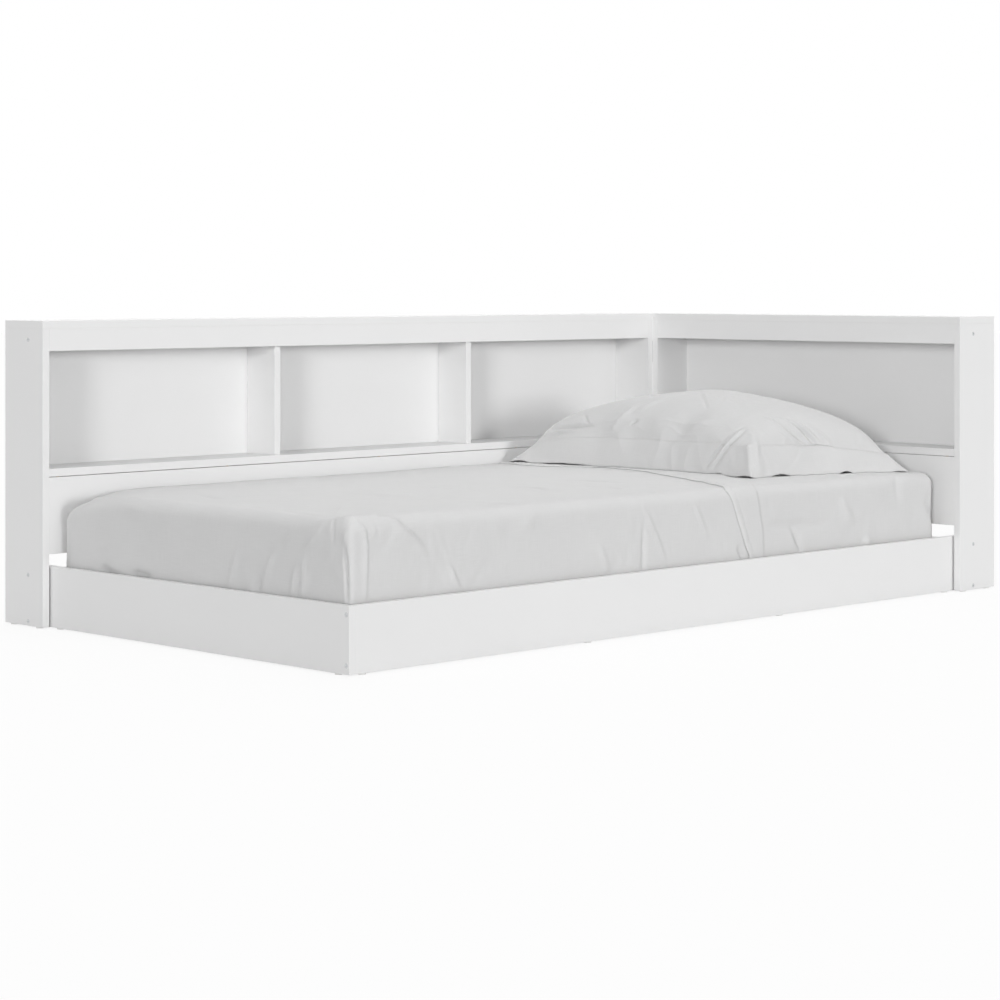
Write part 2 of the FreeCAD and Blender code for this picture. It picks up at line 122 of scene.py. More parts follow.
class Nodes:
    """A node tree that is built by expressions."""

    def __init__(self, tree: bpy.types.NodeTree) -> None:
        """Empties the tree and keeps it."""
        tree.nodes.clear()
        self.tree = tree

    def add(
        self,
        kind: str,
        settings: Mapping[str, Any] | None = None,
        sockets: Mapping[str | int, Any] | None = None,
        output: str | int = 0,
    ) -> Socket:
        """Adds one node.

        Args:
            kind: the node's type.
            settings: its properties, set before its sockets.
            sockets: values or Sockets for its inputs, by identifier, name or number.
            output: which output is returned, by identifier, name or number.

        Returns:
            The chosen output, or a Socket that holds the node's first input if it has no output.
        """
        node = self.tree.nodes.new(kind)
        for name, value in (settings or {}).items():
            setattr(node, name, value)
        for key, value in (sockets or {}).items():
            self.fill(self.find(node.inputs, key), value)
        return Socket(self, self.find(node.outputs, output) if node.outputs else node.inputs[0])

    def fill(self, target: bpy.types.NodeSocket, value: Any) -> None:
        """Links a Socket to an input, or sets the input's own value."""
        if isinstance(value, Socket):
            self.tree.links.new(value.output, target)
        elif isinstance(value, tuple) and len(value) == 3 and target.type == "RGBA":
            target.default_value = (*value, 1.0)
        else:
            target.default_value = value

    @staticmethod
    def find(sockets: Sequence[bpy.types.NodeSocket], key: str | int) -> bpy.types.NodeSocket:
        """Returns the one of a node's sockets that has this identifier, name or number."""
        if isinstance(key, int):
            return sockets[key]
        return next((s for s in sockets if s.identifier == key), None) or sockets[key]

    def mix(self, share: Value, first: Any, second: Any) -> Socket:
        """Blends two colours, the share being how much of the second there is, from 0 to 1."""
        sockets = {"Factor_Float": share, "A_Color": first, "B_Color": second}
        return self.add("ShaderNodeMix", {"data_type": "RGBA"}, sockets, "Result_Color")

    def place(self, scale: Point | float, by_uv: bool = False) -> Socket:
        """Gives the coordinates of the surface, in metres times the scale.

        Args:
            scale: repeats per metre along each axis, or one number for all three.
            by_uv: reads the piece's UV map, whose unit is a metre, and not its own axes.

        Returns:
            The coordinates.
        """
        source = self.add("ShaderNodeTexCoord", output="UV" if by_uv else "Object")
        each = scale if isinstance(scale, tuple) else (scale, scale, scale)
        return self.add("ShaderNodeMapping", None, {"Vector": source, "Scale": each})

    def grain(
        self, scale: Point | float, detail: float = 3.0, distortion: float = 0.0, by_uv: bool = False
    ) -> Socket:
        """Adds fractal noise about 0.5.

        Args:
            scale: its size, as for place.
            detail: octaves.
            distortion: how far the noise bends itself.
            by_uv: as for place.

        Returns:
            The noise value.
        """
        place = self.place(scale, by_uv)
        sockets = {"Vector": place, "Scale": 1.0, "Detail": detail, "Distortion": distortion}
        return self.add("ShaderNodeTexNoise", None, sockets)


# ---------------------------------------------------------------- finishes
@dataclass(frozen=True)
class Finish:
    """A surface finish. Its material is made once and shared by all pieces that have it.

    Attributes:
        name: the material's name.
        colour: its mean colour, linear.
        roughness: its mean roughness.
    """

    name: str
    colour: Colour
    roughness: float

    def material(self) -> bpy.types.Material:
        """Returns the finish's material, made at the first call."""
        known = bpy.data.materials.get(self.name)
        if known:
            return known
        made = bpy.data.materials.new(self.name)
        made.use_nodes = True
        nodes = Nodes(made.node_tree)
        surface = nodes.add("ShaderNodeBsdfPrincipled", None, self.surface(nodes))
        nodes.add("ShaderNodeOutputMaterial", None, {"Surface": surface})
        return made

    def surface(self, nodes: Nodes) -> dict[str, Any]:
        """Returns the principled shader's inputs."""
        raise NotImplementedError

    def shade(self, share: float) -> Colour:
        """Returns the finish's colour, lighter or darker by a share."""
        return tuple(channel * share for channel in self.colour)

    def dress(self, piece: bpy.types.Object) -> None:
        """Gives the piece this finish."""
        piece.data.materials.clear()
        piece.data.materials.append(self.material())


@dataclass(frozen=True)
class Laminate(Finish):
    """White melamine board: a fine pebbled skin, a faint cloudiness and edges darkened by painted shade.

    Attributes:
        edge: how far the painted shade at an edge reaches, in metres.
        clouds: patches of tone per metre.
        pebbles: pebbles of the skin per metre.
        waves: waves of the board per metre.
        depth: height of the pebbles.
        edge_shade_gain: how sharply the painted shade starts at an edge.
        edge_shade_tone: tone of the painted shade at an edge, as a share of the board's.
    """

    edge: float = 0.0012
    clouds: float = 7.0
    pebbles: float = 1100.0
    waves: float = 16.0
    depth: float = 0.00001
    edge_shade_gain: float = 3.0
    edge_shade_tone: float = 0.86

    def surface(self, nodes: Nodes) -> dict[str, Any]:
        """Returns the principled shader's inputs."""
        cloud = nodes.grain(self.clouds, 4.0)
        skin = nodes.grain(self.pebbles, 2.0)
        waves = nodes.grain(self.waves, 2.0)
        normal = nodes.add("ShaderNodeNewGeometry", output="Normal")
        rounded = nodes.add("ShaderNodeBevel", {"samples": 4}, {"Radius": self.edge})
        vectors = {0: normal, 1: rounded}
        facing = nodes.add("ShaderNodeVectorMath", {"operation": "DOT_PRODUCT"}, vectors, "Value")
        # Painted shade: a darker, patchy band along the board's edges, found with the Bevel node; the band is
        # also a little rougher.
        edge_shade = ((1.0 - facing) * self.edge_shade_gain).clamp() * (cloud * 1.2).clamp()
        face = nodes.mix(cloud, self.shade(0.985), self.shade(1.01))
        return {
            "Base Color": nodes.mix(edge_shade * 0.9, face, self.shade(self.edge_shade_tone)),
            "Roughness": cloud.around(self.roughness, 0.06) + edge_shade * 0.1,
            "Specular IOR Level": 0.4,
            "Normal": (skin * 0.7 + waves * 6.0).bump(self.depth, 0.6),
        }


@dataclass(frozen=True)
class Timber(Finish):
    """Planed softwood or hardwood with growth rings, pores and, in softwood, knots.

    Attributes:
        dark: the colour of the late wood.
        along: the axis that the grain follows, 0 for X, 1 for Y, 2 for Z.
        rings: growth rings per metre across the grain.
        knots: how strongly knots show, 0 for none.
        depth: height of the grain.
    """

    dark: Colour = (0.5, 0.35, 0.2)
    along: int = 0
    rings: float = 160.0
    knots: float = 0.0
    depth: float = 0.00012

    def drawn_out(self, across: float, along: float) -> Point:
        """Returns repeats per metre, with fewer of them along the grain."""
        return tuple(along if axis == self.along else across for axis in range(3))

    def surface(self, nodes: Nodes) -> dict[str, Any]:
        """Returns the principled shader's inputs."""
        bend = nodes.grain(self.drawn_out(14.0, 1.1), 3.0, 0.6)
        ring = ((bend * self.rings * 0.35).sine() * 0.5 + 0.5) ** 1.6
        fibre = nodes.grain(self.drawn_out(900.0, 30.0), 3.0)
        shade = (ring * 0.65 + fibre * 0.35).clamp()
        colour = nodes.mix(shade, self.colour, self.dark)
        if self.knots:
            cells = {"Vector": nodes.place(self.drawn_out(4.0, 1.6)), "Scale": 1.0, "Randomness": 1.0}
            spots = nodes.add("ShaderNodeTexVoronoi", None, cells)
            knot = (1.0 - spots * 11.0).clamp() * self.knots
            colour = nodes.mix(knot, colour, tuple(channel * 0.45 for channel in self.dark))
        return {
            "Base Color": colour,
            "Roughness": fibre.around(self.roughness, 0.08),
            "Specular IOR Level": 0.3,
            "Normal": shade.bump(self.depth, 0.5),
        }


@dataclass(frozen=True)
class Metal(Finish):
    """Plated or cast metal with a fine grain and drawn streaks.

    Attributes:
        streak: how many times finer the grain is across than along.
        grains: grains per metre along the streaks.
        blotches: patches of tone per metre.
        depth: height of the grain.
    """

    streak: float = 6.0
    grains: float = 500.0
    blotches: float = 120.0
    depth: float = 0.00003

    def surface(self, nodes: Nodes) -> dict[str, Any]:
        """Returns the principled shader's inputs."""
        across = self.grains * self.streak
        blotch = nodes.grain(self.blotches, 4.0)
        drawn = nodes.grain((self.grains, across, across), 2.0)
        return {
            "Base Color": nodes.mix(blotch, self.shade(0.86), self.shade(1.08)),
            "Metallic": 1.0,
            "Roughness": drawn.around(self.roughness, 0.12),
            "Normal": (drawn * 0.6 + blotch * 0.4).bump(self.depth, 0.5),
        }


@dataclass(frozen=True)
class Plastic(Finish):
    """Moulded plastic with a sparked texture.

    Attributes:
        sparks: pits per metre.
        clouds: patches of tone per metre.
        depth: of the pits.
    """

    sparks: float = 1500.0
    clouds: float = 90.0
    depth: float = 0.00003

    def surface(self, nodes: Nodes) -> dict[str, Any]:
        """Returns the principled shader's inputs."""
        spark = nodes.grain(self.sparks, 2.0)
        cloud = nodes.grain(self.clouds, 3.0)
        return {
            "Base Color": nodes.mix(cloud, self.shade(0.95), self.shade(1.03)),
            "Roughness": spark.around(self.roughness, 0.08),
            "Normal": spark.bump(self.depth, 0.6),
        }


class Weave(Enum):
    """How a cloth's threads show."""

    SLUB = "uneven threads that show as short streaks"
    FINE = "even threads"
    STRIPE = "even threads with woven stripes"


@dataclass(frozen=True)
class Cloth(Finish):
    """Woven cloth. Its threads follow the piece's UV map, whose unit is a metre.

    Attributes:
        weave: how the threads show.
        threads: threads per metre, each way.
        stripe: metres from one woven stripe to the next.
        fuzz: sheen of the loose fibres.
        slubs: slubs per metre across and along a thread.
        clouds: patches of tone per metre.
        depth: height of the weave.
    """

    weave: Weave = Weave.FINE
    threads: float = 1400.0
    stripe: float = 0.022
    fuzz: float = 0.15
    slubs: tuple[float, float] = (900.0, 22.0)
    clouds: float = 9.0
    depth: float = 0.00018

    def surface(self, nodes: Nodes) -> dict[str, Any]:
        """Returns the principled shader's inputs."""
        across, along = (
            nodes.add("ShaderNodeSeparateXYZ", None, {0: nodes.place(1.0, by_uv=True)}, axis) for axis in "XY"
        )
        turn = math.tau * self.threads / 2.0
        threads = (across * turn).sine() * (along * turn).sine() * 0.5 + 0.5
        warp = nodes.grain((*self.slubs, 1.0), by_uv=True)
        weft = nodes.grain((*self.slubs[::-1], 1.0), by_uv=True)
        cloud = nodes.grain((self.clouds, self.clouds, 1.0), by_uv=True)
        slub = 0.9 if self.weave is Weave.SLUB else 0.3
        tone = (0.5 + (warp + weft - 1.0) * slub + (cloud - 0.5) * 0.4).clamp()
        colour = nodes.mix(tone, self.shade(0.95), self.shade(1.05))
        if self.weave is Weave.STRIPE:
            band = ((across * (math.tau / self.stripe)).sine() * 4.0 - 2.6).clamp()
            colour = nodes.mix(band * 0.5, colour, self.shade(0.8))
        return {
            "Base Color": colour,
            "Roughness": warp.around(self.roughness, 0.05),
            "Specular IOR Level": 0.2,
            "Sheen Weight": self.fuzz,
            "Sheen Roughness": 0.5,
            "Normal": (threads * 0.5 + (warp + weft) * 0.5).bump(self.depth, 0.35),
        }


WHITE_BOARD = Laminate("white_laminate", (0.84, 0.84, 0.84), 0.42)
PINE_ALONG = Timber("pine_lengthwise", (0.80, 0.66, 0.46), 0.62, (0.60, 0.40, 0.22), 0, 150.0, 0.8)
PINE_ACROSS = replace(PINE_ALONG, name="pine_crosswise", along=1)
BEECH = Timber("beech_dowel", (0.78, 0.62, 0.44), 0.55, (0.62, 0.45, 0.29), 0, 420.0)
ZINC = Metal("zinc_plated_steel", (0.66, 0.67, 0.68), 0.34)
CAM_METAL = Metal("die_cast_cam", (0.62, 0.62, 0.63), 0.48, 1.0)
GLIDE = Plastic("glide_plastic", (0.82, 0.82, 0.80), 0.45)
LINEN = Cloth("washed_linen", (0.69, 0.69, 0.69), 0.88, Weave.SLUB)
SHAM_LINEN = replace(LINEN, name="sham_linen", colour=(0.66, 0.66, 0.66))
THREAD = Cloth("sewing_thread", (0.66, 0.66, 0.66), 0.8, Weave.FINE, 4000.0)
TICKING = Cloth("mattress_ticking", (0.80, 0.80, 0.79), 0.8, Weave.STRIPE, 1200.0)
PILLOW_COTTON = Cloth("pillow_cotton", (0.84, 0.84, 0.83), 0.85, Weave.FINE, 2000.0)


# ---------------------------------------------------------------- camera and studio
@dataclass(frozen=True)
class PhotoCamera:
    """The photograph's camera: it looks level, and its view is shifted down.

    Attributes:
        place: where it stands.
        heading: its direction from +X towards +Y, in radians.
        focal: focal length in image widths.
        horizon: the horizon's distance from the image's top edge, in image heights.
        image: pixels along each side of the image.
        film: width of the film in millimetres.
    """

    place: Point = (-4.5153, -4.4771, 0.7861)
    heading: float = math.radians(45.3525)
    focal: float = 2.5998
    horizon: float = 0.28297
    image: float = 1000.0
    film: float = 36.0

    def build(self) -> None:
        """Makes the camera and gives it to the scene."""
        data = bpy.data.cameras.new("photo_camera")
        data.sensor_width = self.film
        data.lens = self.focal * self.film
        data.shift_y = self.horizon - 0.5
        camera = bpy.data.objects.new("photo_camera", data)
        camera.location = self.place
        camera.rotation_euler = (math.pi / 2, 0.0, self.heading - math.pi / 2)
        bpy.context.scene.collection.objects.link(camera)
        bpy.context.scene.camera = camera

    def ray(self, pixel: Pixel) -> tuple[Vector, Vector]:
        """Returns the line of sight through a pixel, as the camera's place and a direction."""
        ahead = Vector((math.cos(self.heading), math.sin(self.heading), 0.0))
        right = Vector((ahead.y, -ahead.x, 0.0))
        side = pixel[0] / self.image - 0.5
        rise = self.horizon - pixel[1] / self.image
        towards = ahead * self.focal + right * side + Vector((0.0, 0.0, rise))
        return Vector(self.place), towards.normalized()

    def pixel_column(self, point: np.ndarray) -> float:
        """Returns how far from the image's left edge a point shows, in pixels."""
        away = Vector(point) - Vector(self.place)
        ahead = away.x * math.cos(self.heading) + away.y * math.sin(self.heading)
        right = away.x * math.sin(self.heading) - away.y * math.cos(self.heading)
        return (0.5 + self.focal * right / ahead) * self.image


@dataclass(frozen=True)
class Lamp:
    """A broad lamp far away.

    Attributes:
        name: the lamp's name.
        turn: degrees from the bed's open side (-Y) towards its foot end (-X).
        rise: degrees above the floor.
        width: its width as seen from the bed, in degrees.
        level: share of a white surface's own brightness that it gives when it faces the lamp.
    """

    name: str
    turn: float
    rise: float
    width: float
    level: float

    def build(self) -> None:
        """Makes the lamp."""
        lamp = bpy.data.lights.new(self.name, "SUN")
        lamp.energy = self.level * math.pi
        lamp.angle = math.radians(self.width)
        stand = bpy.data.objects.new(self.name, lamp)
        turn, rise = math.radians(self.turn), math.radians(self.rise)
        level = -math.cos(rise)
        towards = Vector((math.sin(turn) * level, math.cos(turn) * level, math.sin(rise)))
        stand.rotation_euler = towards.to_track_quat("Z", "Y").to_euler()
        bpy.context.scene.collection.objects.link(stand)


@dataclass(frozen=True)
class Studio:
    """A white floor, a soft lamp overhead and low ones that reach into the cubbies.

    Attributes:
        floor_size: side of the floor, in metres.
        floor_colour: what the floor gives back to the object.
        floor_glow: share of plain white in what the camera sees of the floor.
        sky: strength of the light from all round.
        lamps: the lamps.
    """

    floor_size: float = 60.0
    floor_colour: Colour = (0.62, 0.62, 0.62)
    floor_glow: float = 0.86
    sky: float = 0.305
    lamps: tuple[Lamp, ...] = (
        Lamp("open_side_lamp", 0.0, 6.0, 12.0, 0.296),
        Lamp("foot_side_lamp", 60.0, 6.0, 12.0, 0.374),
        Lamp("rear_lamp", 225.0, 45.0, 60.0, 0.200),
        Lamp("top_lamp", 0.0, 90.0, 50.0, 0.315),
        Lamp("head_side_lamp", -90.0, 45.0, 60.0, 0.054),
    )

    def build(self) -> None:
        """Makes the floor, the world and the lamps, and sets how colours are shown."""
        bpy.context.scene.view_settings.view_transform = "Standard"
        self.build_floor()
        self.build_world()
        for lamp in self.lamps:
            lamp.build()

    def build_floor(self) -> None:
        """Makes the floor: pale to the object, nearly white with a shadow to the camera."""
        half = self.floor_size / 2
        corners = [(-half, -half, 0.0), (half, -half, 0.0), (half, half, 0.0), (-half, half, 0.0)]
        floor = new_piece("floor", corners, [(0, 1, 2, 3)])
        material = bpy.data.materials.new("studio_floor")
        material.use_nodes = True
        nodes = Nodes(material.node_tree)
        matt = nodes.add("ShaderNodeBsdfDiffuse", None, {"Color": self.floor_colour})
        lit = nodes.add("ShaderNodeBsdfDiffuse", None, {"Color": WHITE})
        glow = nodes.add("ShaderNodeEmission", None, {"Color": WHITE, "Strength": 1.0})
        seen = nodes.add("ShaderNodeMixShader", None, {0: self.floor_glow, 1: lit, 2: glow})
        floor_mix = nodes.add("ShaderNodeMixShader", None, {0: self.shown(nodes), 1: matt, 2: seen})
        nodes.add("ShaderNodeOutputMaterial", None, {"Surface": floor_mix})
        floor.data.materials.append(material)

    def build_world(self) -> None:
        """Makes the light from all round, which the camera, gloss and glass see as white."""
        world = bpy.data.worlds.new("studio")
        world.use_nodes = True
        bpy.context.scene.world = world
        nodes = Nodes(world.node_tree)
        light = nodes.add("ShaderNodeBackground", None, {"Color": WHITE, "Strength": self.sky})
        white = nodes.add("ShaderNodeBackground", None, {"Color": WHITE, "Strength": 1.0})
        both = nodes.add("ShaderNodeMixShader", None, {0: self.shown(nodes), 1: light, 2: white})
        nodes.add("ShaderNodeOutputWorld", None, {"Surface": both})

    def shown(self, nodes: Nodes) -> Socket:
        """Returns 1 for what is looked at directly, in a reflection or through glass."""
        rays = ("Is Camera Ray", "Is Glossy Ray", "Is Transmission Ray")
        camera, gloss, glass = (nodes.add("ShaderNodeLightPath", output=ray) for ray in rays)
        return (camera + gloss + glass).clamp()


# ---------------------------------------------------------------- mesh helpers
def new_piece(
    name: str,
    points: Sequence[Any],
    faces: Sequence[Sequence[int]],
    uv: np.ndarray | None = None,
    finish: Finish | None = None,
) -> bpy.types.Object:
    """Makes a smooth-shaded mesh object at the origin.

    Args:
        name: the piece's name.
        points: its corners, in metres.
        faces: corner numbers, anticlockwise from outside.
        uv: a flat place for each corner, in metres, for its UV map.
        finish: its finish.

    Returns:
        The object.
    """
    mesh = bpy.data.meshes.new(name)
    mesh.from_pydata([tuple(float(value) for value in point) for point in points], [], faces)
    mesh.polygons.foreach_set("use_smooth", [True] * len(mesh.polygons))
    mesh.update()
    piece = bpy.data.objects.new(name, mesh)
    bpy.context.scene.collection.objects.link(piece)
    if uv is not None:
        corners = np.zeros(len(mesh.loops), np.int32)
        mesh.loops.foreach_get("vertex_index", corners)
        layer = mesh.uv_layers.new(name="cloth")
        layer.data.foreach_set("uv", uv[corners].astype(np.float32).ravel())
    if finish:
        finish.dress(piece)
    LOG.info("%s: %d faces", name, len(faces))
    return piece


def corner_normals(points: np.ndarray, faces: Sequence[Sequence[int]]) -> np.ndarray:
    """Returns a unit vector for each corner, the mean normal of the quads round it."""
    quads = np.array(faces)
    across = np.cross(points[quads[:, 2]] - points[quads[:, 0]], points[quads[:, 3]] - points[quads[:, 1]])
    total = np.zeros_like(points)
    for turn in range(4):
        np.add.at(total, quads[:, turn], across)
    return total / np.maximum(np.linalg.norm(total, axis=1, keepdims=True), 1e-12)


def free_edges(faces: Sequence[Sequence[int]]) -> list[tuple[int, int]]:
    """Returns the edges that only one face has, in that face's direction."""
    counted: dict[tuple[int, int], list[tuple[int, int]]] = {}
    for face in faces:
        for first, second in zip(face, (*face[1:], face[0])):
            counted.setdefault((min(first, second), max(first, second)), []).append((first, second))
    return [found[0] for found in counted.values() if len(found) == 1]


def grid_quads(grid: np.ndarray, turned: bool = False) -> list[tuple[int, ...]]:
    """Lists the quads of a grid of corner numbers, turned over if asked to."""
    corners = [grid[:-1, :-1], grid[1:, :-1], grid[1:, 1:], grid[:-1, 1:]]
    if turned:
        corners[1], corners[3] = corners[3], corners[1]
    return [tuple(quad) for quad in np.stack(corners, axis=-1).reshape(-1, 4).tolist()]


def outline(grid: np.ndarray, whole: bool) -> list[int]:
    """Lists the corners round three sides of a grid, or round the whole and back to the start."""
    three_sides = [*grid[::-1, 0], *grid[0, 1:], *grid[1:, -1]]
    return [*three_sides, *grid[-1, -2:0:-1], grid[-1, 0]] if whole else three_sides


def closed(faces: list[tuple[int, ...]], count: int) -> list[tuple[int, ...]]:
    """Adds to a surface's faces those of its copy, turned over, whose corners follow, and a rim."""
    back = [tuple(corner + count for corner in reversed(face)) for face in faces]
    rim = [(second, first, first + count, second + count) for first, second in free_edges(faces)]
    return [*faces, *back, *rim]


def surface_tree(piece: bpy.types.Object) -> BVHTree:
    """Returns a piece's surface, for lines to meet."""
    points = [corner.co for corner in piece.data.vertices]
    return BVHTree.FromPolygons(points, [face.vertices for face in piece.data.polygons])


def steps(start: float, end: float, pitch: float) -> np.ndarray:
    """Divides a run into equal steps of about one pitch, both ends included."""
    return np.linspace(start, end, max(2, round(abs(end - start) / pitch) + 1))


def graded(start: float, end: float, pitches: Sequence[tuple[float, float]]) -> np.ndarray:
    """Divides a run into stretches with steps of their own.

    Args:
        start: where the run starts.
        end: where it ends.
        pitches: for each stretch, the share of the run at which it ends, and its step.

    Returns:
        The places, with both ends.
    """
    places = [np.array([start])]
    here = start
    for share, pitch in pitches:
        there = start + (end - start) * share
        places.append(steps(here, there, pitch)[1:])
        here = there
    return np.concatenate(places)


@dataclass(frozen=True)
class Stitching:
    """A row of stitches that Geometry Nodes lay along a line.

    Attributes:
        name: the piece's name.
        pitch: from one stitch to the next.
        length: of a stitch.
        thickness: of the thread.
        lean: how far a stitch may turn off the line, in radians.
        seed: of the turns.
    """

    name: str
    pitch: float = 0.0042
    length: float = 0.0030
    thickness: float = 0.0007
    lean: float = 0.10
    seed: int = 4

    def tree(self, material: bpy.types.Material) -> bpy.types.NodeTree:
        """Builds the node tree, whose inputs are its mesh, Pitch, Length, Thickness and Lean."""
        tree = bpy.data.node_groups.new(self.name, "GeometryNodeTree")
        nodes = Nodes(tree)
        tree.interface.new_socket("Geometry", in_out="INPUT", socket_type="NodeSocketGeometry")
        for label in self.sizes():
            tree.interface.new_socket(label, in_out="INPUT", socket_type="NodeSocketFloat")
        tree.interface.new_socket("Geometry", in_out="OUTPUT", socket_type="NodeSocketGeometry")
        group = tree.nodes.new("NodeGroupInput")
        mesh, pitch, length, thickness, most = (Socket(nodes, found) for found in group.outputs if found.name)
        line = nodes.add("GeometryNodeMeshToCurve", None, {"Mesh": mesh}, "Curve")
        along = {"Curve": line, "Length": pitch}
        spots = nodes.add("GeometryNodeResampleCurve", {"mode": "LENGTH"}, along, "Curve")
        bead = nodes.add("GeometryNodeMeshUVSphere", None, {"Segments": 6, "Rings": 5, "Radius": 0.5}, "Mesh")
        tangent = nodes.add("GeometryNodeInputTangent", output="Tangent")
        ahead = {"Vector": tangent}
        aligned = nodes.add("FunctionNodeAlignRotationToVector", {"axis": "X"}, ahead, "Rotation")
        limits = {"Min_001": most * -1.0, "Max_001": most, "Seed": self.seed}
        lean = nodes.add("FunctionNodeRandomValue", {"data_type": "FLOAT"}, limits, "Value_001")
        turn = nodes.add("ShaderNodeCombineXYZ", None, {"Z": lean}, "Vector")
        turns = {"Rotation": aligned, "Rotate By": turn}
        turned = nodes.add("FunctionNodeRotateRotation", {"rotation_space": "LOCAL"}, turns, "Rotation")
        each = {"X": length, "Y": thickness, "Z": thickness}
        size = nodes.add("ShaderNodeCombineXYZ", None, each, "Vector")
        beads = {"Points": spots, "Instance": bead, "Rotation": turned, "Scale": size}
        placed = nodes.add("GeometryNodeInstanceOnPoints", None, beads, "Instances")
        real = nodes.add("GeometryNodeRealizeInstances", None, {"Geometry": placed}, "Geometry")
        dressed = {"Geometry": real, "Material": material}
        shaded = nodes.add("GeometryNodeSetMaterial", None, dressed, "Geometry")
        nodes.add("NodeGroupOutput", None, {"Geometry": shaded})
        return tree

    def sizes(self) -> dict[str, float]:
        """Returns the tree's number inputs by name, in their order."""
        return {"Pitch": self.pitch, "Length": self.length, "Thickness": self.thickness, "Lean": self.lean}

    def build(self, line: np.ndarray, finish: Finish) -> bpy.types.Object:
        """Sews a row of stitches along a line's points, and returns it as a plain mesh."""
        guide = bpy.data.meshes.new(self.name)
        edges = [(i, i + 1) for i in range(len(line) - 1)]
        guide.from_pydata([tuple(map(float, point)) for point in line], edges, [])
        piece = bpy.data.objects.new(self.name, guide)
        bpy.context.scene.collection.objects.link(piece)
        sewing = piece.modifiers.new("stitches", "NODES")
        sewing.node_group = self.tree(finish.material())
        sizes = self.sizes()
        for item in sewing.node_group.interface.items_tree:
            if item.in_out == "INPUT" and item.name in sizes:
                sewing[item.identifier] = sizes[item.name]
        bpy.context.view_layer.update()
        shown = piece.evaluated_get(bpy.context.evaluated_depsgraph_get())
        mesh = bpy.data.meshes.new_from_object(shown)
        piece.modifiers.clear()
        piece.data = mesh
        bpy.data.meshes.remove(guide)
        mesh.name = self.name
        finish.dress(piece)
        LOG.info("%s: %d faces", self.name, len(mesh.polygons))
        return piece


# ---------------------------------------------------------------- mattress form
@dataclass
class MattressForm:
    """The rounded block that the sheets follow.

    Attributes:
        low: its lowest corner.
        high: its highest corner.
        corner: rounding of its upright corners.
        edge: rounding of its upper edges.
        reach: how far along each side a corner's rounding is felt.
        slump: how far the top falls away at the foot corner beside the wall.
        slump_reach: how far from that corner it starts to.
    """

    low: np.ndarray
    high: np.ndarray
    corner: float = 0.012
    edge: float = 0.030
    reach: float = 0.040
    slump: float = 0.042
    slump_reach: float = 0.22

    def shrunk(self, depth: float) -> "MattressForm":
        """Returns the same form with its top and sides set in by a depth."""
        inset = np.array([depth, depth, 0.0])
        lift = np.array([depth, depth, depth])
        return replace(self, low=self.low + inset, high=self.high - lift)

    def slumped(self, points: np.ndarray) -> np.ndarray:
        """Returns a sheet's corners, lowered at the foot corner beside the wall."""
        away = np.hypot(points[:, 0] - self.low[0], points[:, 1] - self.high[1])
        fall = self.slump * np.clip(1.0 - away / self.slump_reach, 0.0, 1.0) ** 2
        share = np.clip((points[:, 2] - self.low[2]) / (self.high[2] - self.low[2]), 0.0, 1.0)
        result = points.copy()
        result[:, 2] -= fall * share
        return result

    def outer(self, inner: np.ndarray) -> np.ndarray:
        """Returns the place on the sides' outline beside a point of the flat top's, in plan."""
        middle = (self.low[:2] + self.high[:2]) / 2
        half = (self.high[:2] - self.low[:2]) / 2
        sign = np.where(inner >= middle, 1.0, -1.0)
        flat = half - self.edge
        back = flat - np.abs(inner - middle)
        side = int(back[1] < back[0])
        along = back[1 - side]
        if along >= self.reach:
            place = np.abs(inner - middle)
            place[side] += self.edge
            return middle + sign * place
        arc = self.corner * math.pi / 4
        straight = self.reach + self.edge - self.corner
        travel = along / self.reach * (arc + straight)
        turn = math.pi / 4 - min(travel, arc) / self.corner
        place = np.zeros(2)
        place[side] = half[side] - self.corner * (1.0 - math.cos(turn))
        place[1 - side] = half[1 - side] - self.corner * (1.0 - math.sin(turn)) - max(0.0, travel - arc)
        return middle + sign * place

    def profile(self, foot: float, pitch: float, curl: float = 0.0) -> list[tuple[float, float, float]]:
        """Lists the levels of the sides, from the top's outline down.

        Args:
            foot: height of the lower edge.
            pitch: distance from one level to the next.
            curl: rounding of the lower edge, inwards.

        Returns:
            For each level, how far out it lies as a share, its height, and its distance along the
            surface.
        """
        levels = []
        for turn in steps(0.0, math.pi / 2, pitch / self.edge)[1:]:
            height = self.high[2] - self.edge * (1.0 - math.cos(turn))
            levels.append((math.sin(turn), height, self.edge * turn))
        start = self.high[2] - self.edge
        for height in steps(start, foot + curl, pitch)[1:]:
            levels.append((1.0, height, self.edge * math.pi / 2 + start - height))
        if curl:
            run = levels[-1][2]
            for turn in steps(0.0, math.pi / 2, pitch / curl)[1:]:
                out = 1.0 - curl / self.edge * (1.0 - math.cos(turn))
                levels.append((out, foot + curl * (1.0 - math.sin(turn)), run + curl * turn))
        return levels

    def inner_span(self, axis: int) -> tuple[float, float]:
        """Returns where the flat top starts and ends along an axis."""
        return self.low[axis] + self.edge, self.high[axis] - self.edge


